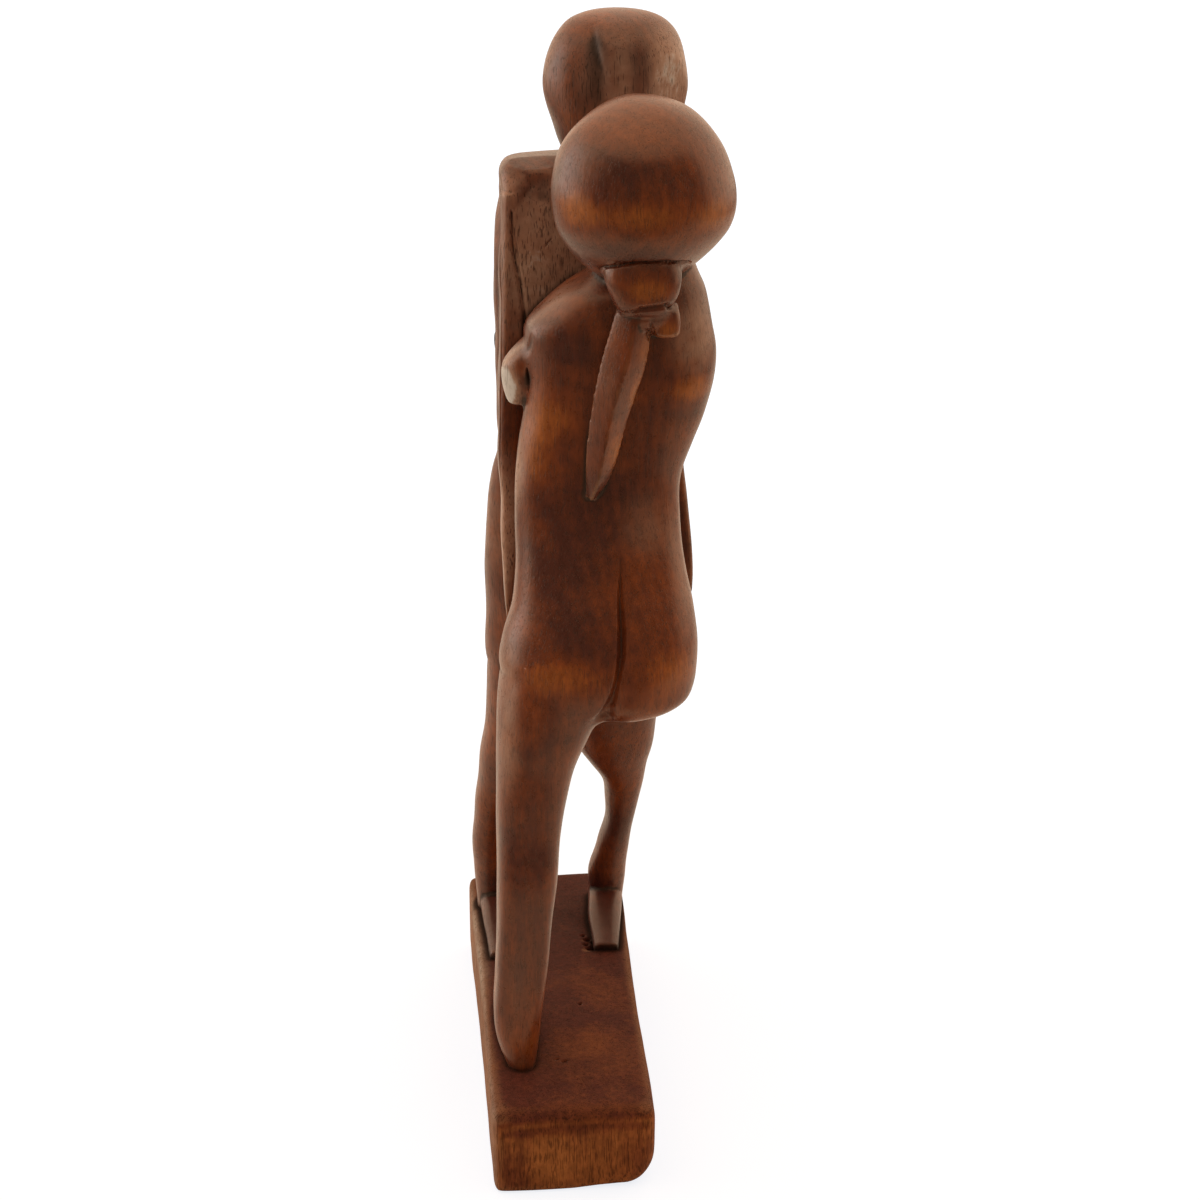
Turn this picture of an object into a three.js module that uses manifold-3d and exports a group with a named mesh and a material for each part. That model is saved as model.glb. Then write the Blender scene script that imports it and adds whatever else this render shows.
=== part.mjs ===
// A couple carved with their base from one block of hardwood. Millimetres, +Z up.
// X runs across the narrow base, Y along it, and the origin is the middle of its underside.
// The near figure, a woman seen from behind, stands at -Y. The far figure, a man, faces -Y.

import * as THREE from 'three';
import { mergeVertices } from 'three/addons/utils/BufferGeometryUtils.js';
import Module from 'manifold-3d';

// Driving dimensions
const BASE_LENGTH = 205;
const BASE_LEFT = [-30.6, -31.2, -33];
const BASE_RIGHT = [28.6, 29.2, 32.4];
const BASE_HEIGHT = 32.4;
const BASE_EDGE = 3;
const BASE_CORNER = 5;
const COUPLE_SHIFT = 1.5;
const WOOD = { color: 0x6b3f28, roughness: 0.42, metalness: 0 };

// The rounded end of a form: how far out each ring stands and how small it has grown
const DOME = [35, 70].map((degrees) => degrees * Math.PI / 180);

const wasm = await Module();
wasm.setup();

// One corner-rounded outline around a centre, in the plane of two directions
function ring(centre, across, along, halfWidth, halfDepth, squareness, sides) {
  const points = [];
  for (let k = 0; k < sides; k += 1) {
    const angle = 2 * Math.PI * k / sides;
    const u = Math.sign(Math.cos(angle)) * Math.abs(Math.cos(angle)) ** (2 / squareness);
    const v = Math.sign(Math.sin(angle)) * Math.abs(Math.sin(angle)) ** (2 / squareness);
    const point = centre.clone().addScaledVector(across, halfWidth * u);
    points.push(point.addScaledVector(along, halfDepth * v));
  }
  return points;
}

// A closed solid through a list of rings
function skin(rings) {
  const sides = rings[0].length;
  const points = rings.flat();
  const faces = [];
  for (let r = 0; r < rings.length - 1; r += 1) {
    for (let k = 0; k < sides; k += 1) {
      const a = r * sides + k;
      const b = r * sides + (k + 1) % sides;
      faces.push(a, b, b + sides, a, b + sides, a + sides);
    }
  }
  const ends = [rings[0], rings[rings.length - 1]];
  ends.forEach((end, e) => {
    const middle = end.reduce((sum, p) => sum.add(p), new THREE.Vector3()).divideScalar(sides);
    const hub = points.push(middle) - 1;
    const first = e * (rings.length - 1) * sides;
    for (let k = 0; k < sides; k += 1) {
      const rim = [first + k, first + (k + 1) % sides];
      faces.push(hub, rim[1 - e], rim[e]);
    }
  });
  return solid(points.flatMap((p) => p.toArray()), faces);
}

function solid(positions, faces) {
  const mesh = new wasm.Mesh({
    numProp: 3,
    vertProperties: Float32Array.from(positions),
    triVerts: Uint32Array.from(faces),
  });
  return new wasm.Manifold(mesh);
}

// A form through stations, with a rounded end of the given length before the first and after the last.
// The outline of each station lies in the plane of its two directions.
function form(stations, sides, startDome, endDome, carve) {
  const outline = ({ centre, across, along, size }) => ring(centre, across, along, ...size, sides);
  const rings = stations.map(outline);
  const ends = [[stations[0], -startDome], [stations[stations.length - 1], endDome]];
  const domes = ends.map(([{ centre, across, along, size }, reach]) => DOME.map((angle) => {
    const out = across.clone().cross(along).multiplyScalar(reach * Math.sin(angle)).add(centre);
    const [halfWidth, halfDepth, squareness] = size;
    const small = Math.cos(angle);
    return ring(out, across, along, halfWidth * small, halfDepth * small, squareness, sides);
  }));
  if (startDome > 0) rings.unshift(...domes[0].reverse());
  if (endDome > 0) rings.push(...domes[1]);
  if (carve) rings.flat().forEach(carve);
  return skin(rings);
}

// An upright form. Each station: height, centre x, half width, centre y, half depth, squareness
function column(stations, { sides = 24, foot = 0, crown = 0, carve = null } = {}) {
  const across = new THREE.Vector3(1, 0, 0);
  const along = new THREE.Vector3(0, 1, 0);
  const level = stations.map(([z, x, halfWidth, y, halfDepth, squareness]) => {
    return { centre: new THREE.Vector3(x, y, z), across, along, size: [halfWidth, halfDepth, squareness] };
  });
  return form(level, sides, foot, crown, carve);
}

// A limb that runs in any direction. Each station: x, y, z, half width, half height, squareness.
// The width lies level, at right angles to the way the limb runs.
function limb(stations, { sides = 16, start = 0, end = 0, up = [0, 0, 1] } = {}) {
  const centres = stations.map(([x, y, z]) => new THREE.Vector3(x, y, z));
  const turned = stations.map(([, , , halfWidth, halfHeight, squareness], i) => {
    const before = centres[Math.max(i - 1, 0)];
    const after = centres[Math.min(i + 1, centres.length - 1)];
    const way = after.clone().sub(before).normalize();
    const across = new THREE.Vector3(...up).cross(way).normalize();
    const along = way.clone().cross(across);
    return { centre: centres[i], across, along, size: [halfWidth, halfHeight, squareness] };
  });
  return form(turned, sides, start, end, null);
}

// The face of either head: a forehead and nose plane that narrows downwards between two hollows
const FACE_HOLLOW = 4.5;
const HOLLOW_HALF = 5;
const NOSE_HALVES = [10, 4];
const WOMAN_FACE = { facing: 1, brow: 370, chin: 334, middle: 26.2, headY: -38 };
const MAN_FACE = { facing: -1, brow: 401, chin: 357, middle: 23, headY: 21 };
function faceCarver({ facing, brow, chin, middle, headY }) {
  return (point) => {
    const depth = (point.y - headY) * facing;
    const down = (brow - point.z) / (brow - chin);
    if (depth <= 0 || down <= 0 || down >= 1) return;
    const noseHalf = THREE.MathUtils.lerp(...NOSE_HALVES, down);
    const off = (Math.abs(point.x - middle) - noseHalf) / HOLLOW_HALF - 1;
    const hollow = Math.exp(-off * off) * Math.sqrt(Math.sin(Math.PI * down)) * FACE_HOLLOW;
    point.y -= facing * Math.min(hollow, depth);
  };
}

// The base: a slab whose sides draw in a little towards the near end
function base() {
  const inset = BASE_EDGE;
  const half = BASE_LENGTH / 2 - inset;
  const corners = [
    [BASE_LEFT[0] + inset, -half],
    [BASE_RIGHT[0] - inset, -half],
    [BASE_RIGHT[1] - inset, 0],
    [BASE_RIGHT[2] - inset, half],
    [BASE_LEFT[2] + inset, half],
    [BASE_LEFT[1] + inset, 0],
  ].map((corner) => new THREE.Vector2(...corner));
  const outline = new THREE.Shape();
  corners.forEach((corner, i) => {
    const before = corners[(i + 5) % 6].clone().sub(corner).setLength(BASE_CORNER).add(corner);
    const after = corners[(i + 1) % 6].clone().sub(corner).setLength(BASE_CORNER).add(corner);
    if (i === 0) outline.moveTo(before.x, before.y);
    else outline.lineTo(before.x, before.y);
    outline.quadraticCurveTo(corner.x, corner.y, after.x, after.y);
  });
  outline.closePath();
  const slab = new THREE.ExtrudeGeometry(outline, {
    depth: BASE_HEIGHT - 2 * BASE_EDGE,
    bevelThickness: BASE_EDGE,
    bevelSize: BASE_EDGE,
    bevelSegments: 3,
    curveSegments: 4,
  });
  slab.translate(0, 0, BASE_EDGE);
  slab.deleteAttribute('normal');
  slab.deleteAttribute('uv');
  const merged = mergeVertices(slab);
  return solid(merged.attributes.position.array, merged.index.array);
}

// The woman: height, centre x, half width, centre y, half depth, squareness
const WOMAN_TORSO = [
  [166, 14, 20, -50, 13, 2.1],
  [168.2, 14, 26.5, -48.5, 18, 2.2],
  [171.5, 13.2, 31.3, -47, 21.5, 2.3],
  [176, 12.4, 34, -45, 24, 2.3],
  [183, 11.8, 35.6, -43, 26, 2.4],
  [192, 12.7, 35.2, -41.5, 25.6, 2.4],
  [203, 13.8, 32.8, -39.5, 24, 2.4],
  [216, 13.2, 30.8, -36.5, 21.5, 2.4],
  [234, 12.4, 29.8, -33, 18.7, 2.4],
  [250, 12.8, 29.9, -31, 18, 2.4],
  [262, 15.6, 31.1, -29.5, 19.3, 2.4],
  [273, 19, 32.3, -28, 21, 2.4],
  [285, 21.2, 33.3, -27, 22.5, 2.5],
  [296, 21.1, 33.8, -26, 23.5, 2.5],
  [304, 20.6, 32.9, -26, 23.5, 2.5],
  [311, 23, 29.3, -26, 23, 2.4],
  [317, 25.6, 25.2, -26.5, 21.8, 2.3],
  [323, 28.7, 19.3, -27, 19, 2.1],
  [332, 31, 13.5, -28.5, 15, 2],
];
const WOMAN_LEG = [
  [28, -18.2, 4.3, -65, 7, 2.2],
  [32.5, -18.6, 5, -65, 7.8, 2.2],
  [39, -19.3, 6.9, -63.5, 8.8, 2.2],
  [46, -19.6, 8.3, -62.5, 9.4, 2.3],
  [54, -19.3, 9.1, -61.5, 9.7, 2.3],
  [66, -18.2, 9.4, -60.5, 10, 2.4],
  [86, -16.7, 9.8, -58.5, 11.5, 2.5],
  [103, -15.5, 10.7, -57, 12.5, 2.5],
  [120, -14.6, 11.5, -54.5, 13, 2.5],
  [135, -13.2, 12.9, -52.5, 14.5, 2.5],
  [148, -11.2, 14.5, -50, 16.5, 2.4],
  [158, -8.4, 16.9, -48, 19, 2.4],
  [168, -6, 19, -46, 21, 2.3],
  [180, -6, 17.5, -44, 21, 2.3],
  [192, -6, 15, -42, 18, 2.3],
];
const WOMAN_FOOT = [
  [-18.6, -60, 36, 5.5, 7, 2.2],
  [-18.8, -50, 35.5, 6.8, 8, 2.2],
  [-19.2, -37, 34.2, 7.3, 6.4, 2.4],
  [-19.4, -24, 33, 7, 4.6, 2.6],
  [-19.4, -13, 32.6, 6, 3.2, 2.6],
];
const WOMAN_THIGH = [
  [28, -48, 184, 16, 16.5, 2.2],
  [34, -28, 182, 15, 16.5, 2.2],
  [38.6, -8, 179, 12.5, 15.5, 2.2],
  [41.5, 13, 176, 10.5, 14, 2.2],
  [43.4, 32, 173, 8.8, 13, 2.2],
  [41.5, 46, 170.5, 8.2, 12, 2.2],
  [34.5, 55.5, 168, 7.6, 10.5, 2.2],
  [24, 60.2, 165, 6.8, 9, 2.2],
  [10, 62.2, 161, 6, 8, 2.2],
  [-4, 61.3, 157, 5, 7, 2.2],
  [-13, 58.6, 154.5, 4, 5.5, 2.2],
];
const WOMAN_HEAD = [
  [322.8, 26.5, 13, -38, 12.7, 2],
  [326.6, 26.3, 18.5, -38, 18, 2],
  [330.9, 26.6, 23.2, -38, 22.6, 2],
  [335.6, 27.1, 27.2, -38, 26.5, 2],
  [340.9, 27.8, 30.3, -38, 29.5, 2],
  [346.5, 28.2, 31.7, -38, 30.9, 2],
  [353, 28, 32, -38, 31.2, 2],
  [361, 27.6, 30.4, -38, 29.6, 2],
  [367.5, 27.3, 28.1, -38, 27.4, 2],
  [372.5, 27.3, 25, -38, 24.4, 2],
  [377, 27.5, 21.1, -38, 20.6, 2],
  [380.7, 27.6, 16.6, -38, 16.2, 2],
  [383.6, 27.2, 11.2, -38, 10.9, 2],
  [385.3, 26.6, 6, -38, 5.8, 2],
  [385.9, 26.2, 2, -38, 1.9, 2],
];
const WOMAN_NECK = [
  [312, 28, 13, -30, 12, 2],
  [336, 27, 13, -35, 13, 2],
];
const CUFF = [
  [313.8, 27.1, 8.4, -54, 6.5, 2.4],
  [317, 26.9, 10.1, -54, 8.5, 2.4],
  [321, 26.8, 11.7, -53.5, 10, 2.4],
  [325.5, 26.5, 13.2, -52.5, 11.5, 2.4],
  [330, 26.4, 13.4, -51, 12, 2.4],
  [334, 26.4, 12.6, -49, 12, 2.4],
];
const TAIL = [
  [24.4, -52, 316, 6.2, 5.5, 1.5],
  [22.8, -53, 308.5, 7, 5.8, 1.45],
  [21.6, -53.5, 302.5, 7.5, 6, 1.4],
  [19.6, -54, 294.5, 7.9, 6.2, 1.35],
  [17.3, -54, 288, 7.3, 6.2, 1.35],
  [13.6, -53, 275.5, 5.9, 5.8, 1.35],
  [11, -51.5, 262.5, 4.5, 5.2, 1.35],
  [9.5, -50.5, 253, 3, 4.2, 1.35],
  [8.4, -49.6, 246, 1, 2.4, 1.4],
];
const STUB = [
  [30.5, -52.5, 317.5, 6.5, 4, 2.6],
  [34.6, -53.5, 311.5, 5.2, 4.8, 2.8],
  [35.7, -53.5, 305, 4.6, 4.8, 2.8],
];
const WOMAN_ELBOW = [
  [275, -16, 3.5, -22, 6.5, 2.8],
  [278, -16.2, 4.2, -22, 7.5, 2.8],
  [283, -16.1, 4.6, -22, 8.5, 3],
  [288.5, -15.5, 4.6, -22, 9.2, 3],
  [291.5, -13.8, 4.4, -22, 9.6, 3],
  [294.5, -11.6, 4, -22.5, 10, 2.8],
  [298, -8, 4, -23, 10, 2.6],
];
const WOMAN_FOREARMS = [
  [
    [-15, -20, 284, 4.6, 7, 2.4],
    [-13.5, -9, 284, 4.4, 6.6, 2.4],
    [-10, 2, 284.5, 4.2, 6.4, 2.4],
  ],
  [
    [48.5, -22, 283, 5, 7.5, 2.4],
    [45, -10, 283.5, 4.6, 6.8, 2.4],
    [38, 2, 284.5, 4.2, 6.4, 2.4],
  ],
];
const HAND_CURVE = [
  [-18.6, 25.5, 285, 3.6, 6, 2.4],
  [-17, 31, 285.5, 3.6, 6, 2.4],
  [-12.6, 34.4, 286.5, 3.6, 6, 2.4],
  [-6.5, 36.4, 288, 3.6, 5.8, 2.4],
  [0, 37.6, 290, 3.2, 5, 2.4],
  [5.5, 38.2, 292, 2.6, 3.6, 2.4],
];
const BACK_MIDDLE = 13.6;
const CLEFT = [
  [18.2, -54.4, 231, 0.3, 0.6, 2],
  [18.4, -58, 221, 0.9, 1.3, 2],
  [18.5, -62.2, 209, 1.3, 2, 2],
  [18.4, -65.6, 199, 1.6, 2.6, 2],
  [17.9, -68, 190, 1.9, 3.2, 2],
  [16.4, -69.2, 181, 2.1, 3.8, 2],
  [14.6, -68.6, 174, 2.2, 4.4, 2],
  [12.8, -64, 167.5, 2.2, 5, 2],
  [11, -56, 162, 2.2, 5, 2],
];

// The man
const MAN_BACK = [
  [132, 9.5, 22, 44, 10, 2.3],
  [143, 9.5, 31, 43, 16, 2.4],
  [154, 9.5, 35, 41.7, 20.5, 2.4],
  [175, 9.5, 35.5, 40, 21.5, 2.4],
  [197, 9.5, 35.3, 38, 20.5, 2.4],
  [213, 9.8, 35.2, 35.5, 18.8, 2.4],
  [224, 10.3, 35, 33.5, 17.5, 2.4],
  [234, 11.6, 34.2, 31.5, 16.5, 2.4],
  [243, 13, 33.6, 29.5, 15.8, 2.4],
  [255, 13.4, 34.4, 27.5, 15.5, 2.5],
  [272, 13.5, 35, 24.5, 15.5, 2.6],
  [285, 13.6, 35.2, 22.8, 16.2, 2.7],
  [300, 13.8, 35.4, 21, 17, 2.8],
  [325, 13.9, 35.4, 20, 17.5, 2.8],
  [335, 14, 34.8, 20, 17, 2.8],
  [341, 14.2, 33.5, 20, 16.3, 2.8],
  [347, 14.6, 32.2, 19.6, 15.4, 2.8],
];
const MAN_CHEST = [
  [268, 14.5, 22, 16, 9, 4],
  [280, 14.5, 30, 12, 12, 5],
  [300, 14.4, 34.2, 9.8, 14, 6],
  [330, 14.4, 34.1, 12.5, 15, 6],
  [343, 14.6, 33.8, 14.5, 15.5, 6],
  [346.5, 14.6, 33.7, 15, 16, 6],
  [350, 14.8, 34.2, 17, 16.3, 5],
  [353, 14.8, 33.6, 17.5, 15, 4.5],
  [355.4, 15, 31.6, 18, 12, 4],
];
const MAN_ARMS = [
  [
    [188, -19.4, 0.5, -15, 2, 3],
    [193, -19.2, 1.1, -14, 3.5, 3.5],
    [203, -18.9, 2, -12, 5, 4],
    [214, -18.2, 2.9, -9, 6, 4],
    [232, -17.6, 3.7, -4.5, 7, 4.5],
    [250, -17.3, 4.4, 0, 8, 4.5],
    [269, -16, 5.2, 4, 10, 4.5],
    [300, -15, 5.4, 9, 13, 4.5],
    [345, -13.6, 5.8, 13.5, 14, 4.5],
  ],
  [
    [199, 47.2, 1.6, -13, 3.5, 3.5],
    [206, 46.2, 3.2, -11, 5, 4],
    [214, 45.2, 4.3, -9, 6, 4],
    [232, 43.2, 4.6, -4.5, 7, 4.5],
    [250, 41.6, 4.6, 0, 8, 4.5],
    [269, 41.4, 5.2, 4, 10, 4.5],
    [300, 42, 5.4, 9, 13, 4.5],
    [345, 42, 5.8, 13.5, 14, 4.5],
  ],
];
const MAN_LEGS = [
  [
    [28, 24, 7, 73, 7.5, 2.4],
    [40, 23.9, 7.2, 71.5, 8, 2.4],
    [48, 24, 7.5, 69, 8.2, 2.4],
    [63, 26, 6.6, 63, 8.5, 2.4],
    [78, 28.3, 6.1, 57.5, 9.5, 2.4],
    [86, 28.9, 6.8, 55, 10, 2.4],
    [96, 29.2, 8.2, 52, 11, 2.4],
    [106, 27.1, 11.6, 49, 13, 2.4],
    [114, 25.4, 14.9, 46.5, 14.5, 2.4],
    [126, 23.4, 18.5, 44.5, 17, 2.4],
    [140, 23.3, 20.4, 43, 19, 2.4],
    [154, 24.5, 19.6, 42, 19.5, 2.4],
    [168, 25, 17, 41, 18, 2.4],
  ],
  [
    [28, -22.8, 7, 73, 7.5, 2.4],
    [43, -23.2, 7.5, 70, 8.2, 2.4],
    [61, -24.6, 7.3, 63, 8.8, 2.4],
    [78, -24.4, 7, 57.5, 9.8, 2.4],
    [87, -23.4, 7.5, 55, 10.5, 2.4],
    [98, -20.8, 8.9, 52, 12, 2.4],
    [111, -16, 12.5, 48.5, 14.5, 2.4],
    [126, -9.5, 17.2, 45, 17, 2.4],
    [140, -5.8, 20.2, 43, 19, 2.4],
    [154, -5, 20, 42, 19.5, 2.4],
    [168, -5, 17, 41, 18, 2.4],
  ],
];
const MAN_FEET = [
  [
    [23.6, 76, 36.5, 6.4, 6.5, 2.4],
    [23.6, 66, 35.5, 6.6, 6.3, 2.6],
    [22.6, 50, 34.4, 5.7, 4.4, 3],
    [21.1, 24, 32.8, 4, 2.6, 3.4],
  ],
  [
    [-22.8, 77, 36.5, 6.6, 6.5, 2.4],
    [-22.6, 67, 35.5, 6.6, 6.3, 2.6],
    [-22.4, 50, 34.4, 5.7, 4.4, 3],
    [-22.4, 20.5, 32.8, 4, 2.6, 3.4],
  ],
];
const MAN_NECK = [
  [344, 19, 13, 23, 13, 2.2],
  [364, 22, 15, 23, 15, 2.2],
];
const MAN_HEAD = [
  [346, 23, 10, 13, 10, 2.2],
  [351, 23, 14.4, 14.5, 14.2, 2.2],
  [356.5, 23, 18.4, 16.5, 18.5, 2.2],
  [362, 23.2, 21.2, 18.3, 21.6, 2.2],
  [368, 23.4, 23.2, 19.8, 23.8, 2.2],
  [374.5, 23.2, 25, 20.7, 25.4, 2.1],
  [380.5, 23.2, 26.2, 21, 26.2, 2],
  [386, 23.1, 26.1, 21, 26.2, 2],
  [391, 23.1, 25.3, 21, 25.3, 2],
  [395.6, 23.3, 23.8, 21, 23.8, 2],
  [400.2, 23.6, 21, 21, 21, 2],
  [403.4, 23.6, 17.7, 21, 17.7, 2],
  [405.9, 23.7, 12.8, 21, 12.8, 2],
  [407.5, 23.5, 6.8, 21, 6.8, 2],
  [408, 23.4, 2.5, 21, 2.5, 2],
];

// One of her hands laid on his back, on either side of his spine
function hand(side) {
  const stations = HAND_CURVE.map(([x, ...rest]) => [BACK_MIDDLE + side * (BACK_MIDDLE - x), ...rest]);
  return limb(stations, { sides: 10, end: 1.5 });
}

function woman() {
  return [
    column(WOMAN_TORSO, { sides: 28, foot: 1.2 }),
    column(WOMAN_LEG, { sides: 18 }),
    limb(WOMAN_FOOT, { sides: 12, start: 4, end: 3 }),
    limb(WOMAN_THIGH, { sides: 16, start: 6, end: 4 }),
    column(WOMAN_NECK, { sides: 12 }),
    column(WOMAN_HEAD, { sides: 30, carve: faceCarver(WOMAN_FACE) }),
    column(CUFF, { sides: 16 }),
    limb(TAIL, { sides: 8, up: [0, -1, 0] }),
    limb(STUB, { sides: 10, end: 3, up: [0, -1, 0] }),
    column(WOMAN_ELBOW, { sides: 12, foot: 2 }),
    ...WOMAN_FOREARMS.map((arm) => limb(arm, { sides: 10 })),
    hand(-1),
    hand(1),
  ];
}

function man() {
  return [
    column(MAN_BACK, { sides: 26, crown: 6 }),
    column(MAN_CHEST, { sides: 24, crown: 1.4 }),
    ...MAN_ARMS.map((arm) => column(arm, { sides: 12, foot: 1.5 })),
    ...MAN_LEGS.map((leg) => column(leg, { sides: 18 })),
    ...MAN_FEET.map((foot) => limb(foot, { sides: 10, start: 4 })),
    column(MAN_NECK, { sides: 12 }),
    column(MAN_HEAD, { sides: 30, carve: faceCarver(MAN_FACE) }),
  ];
}

function geometryOf(manifold) {
  const mesh = manifold.getMesh();
  const geometry = new THREE.BufferGeometry();
  geometry.setAttribute('position', new THREE.BufferAttribute(mesh.vertProperties, mesh.numProp));
  geometry.setIndex(new THREE.BufferAttribute(mesh.triVerts, 1));
  geometry.computeVertexNormals();
  return geometry;
}

const cleft = limb(CLEFT, { sides: 8, up: [0, -1, 0] });
const couple = [...woman(), ...man()].reduce((whole, more) => whole.add(more)).subtract(cleft);
const carving = base().add(couple.translate([0, COUPLE_SHIFT, 0]));

const group = new THREE.Group();
const piece = new THREE.Mesh(geometryOf(carving), new THREE.MeshStandardMaterial(WOOD));
piece.name = 'carved_couple';
group.add(piece);

export default group;
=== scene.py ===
# A couple carved with their base from one block of reddish hardwood.
# The near figure, a woman seen from behind, stands at -Y. The far figure, a man, faces -Y.
# Shapes are worked out in millimetres, as in the part's source, and turned into metres last.
import math
from itertools import product

import bpy
import numpy as np
from mathutils.kdtree import KDTree
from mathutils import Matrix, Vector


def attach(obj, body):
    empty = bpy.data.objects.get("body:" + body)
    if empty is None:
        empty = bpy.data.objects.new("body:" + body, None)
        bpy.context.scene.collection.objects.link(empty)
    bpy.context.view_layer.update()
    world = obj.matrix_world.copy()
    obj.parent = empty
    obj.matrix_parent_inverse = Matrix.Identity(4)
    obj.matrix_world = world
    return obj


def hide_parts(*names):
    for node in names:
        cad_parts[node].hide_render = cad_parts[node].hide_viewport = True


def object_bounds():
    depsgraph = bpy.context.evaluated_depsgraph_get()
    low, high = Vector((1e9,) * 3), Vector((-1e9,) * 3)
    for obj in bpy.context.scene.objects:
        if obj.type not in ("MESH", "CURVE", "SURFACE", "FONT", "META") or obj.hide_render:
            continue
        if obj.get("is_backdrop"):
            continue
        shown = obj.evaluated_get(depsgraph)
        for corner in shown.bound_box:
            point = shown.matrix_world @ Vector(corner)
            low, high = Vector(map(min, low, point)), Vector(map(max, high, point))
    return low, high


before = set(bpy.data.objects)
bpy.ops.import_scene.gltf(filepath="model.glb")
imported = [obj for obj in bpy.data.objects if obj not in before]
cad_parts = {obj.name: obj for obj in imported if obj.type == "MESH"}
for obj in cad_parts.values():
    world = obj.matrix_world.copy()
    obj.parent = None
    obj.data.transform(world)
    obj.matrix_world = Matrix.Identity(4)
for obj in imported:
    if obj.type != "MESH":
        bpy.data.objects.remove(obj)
solid_low, solid_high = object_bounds()


# THE BASE
# A slab of the same block, sawn to length and left about 32 mm thick. Its arrises are rounded by
# hand, its sides draw in towards the near end, and its top shows the end of the grain.
MM = 0.001
BASE_LENGTH = 205
BASE_HEIGHT = 32.4
BASE_LEFT = [(-102.5, -30.6), (0, -31.2), (102.5, -33)]
BASE_RIGHT = [(-102.5, 28.6), (0, 29.2), (102.5, 32.4)]
BASE_FINENESS = 1.15
ARRIS_WEAR = 3
# How far round a cut its points are looked for, and how far above or below it they count in full
CUT_REACH = 12
CUT_LIFT = 4
# How many waves the unevenness of hand work is made of
WAVES = 14


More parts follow.
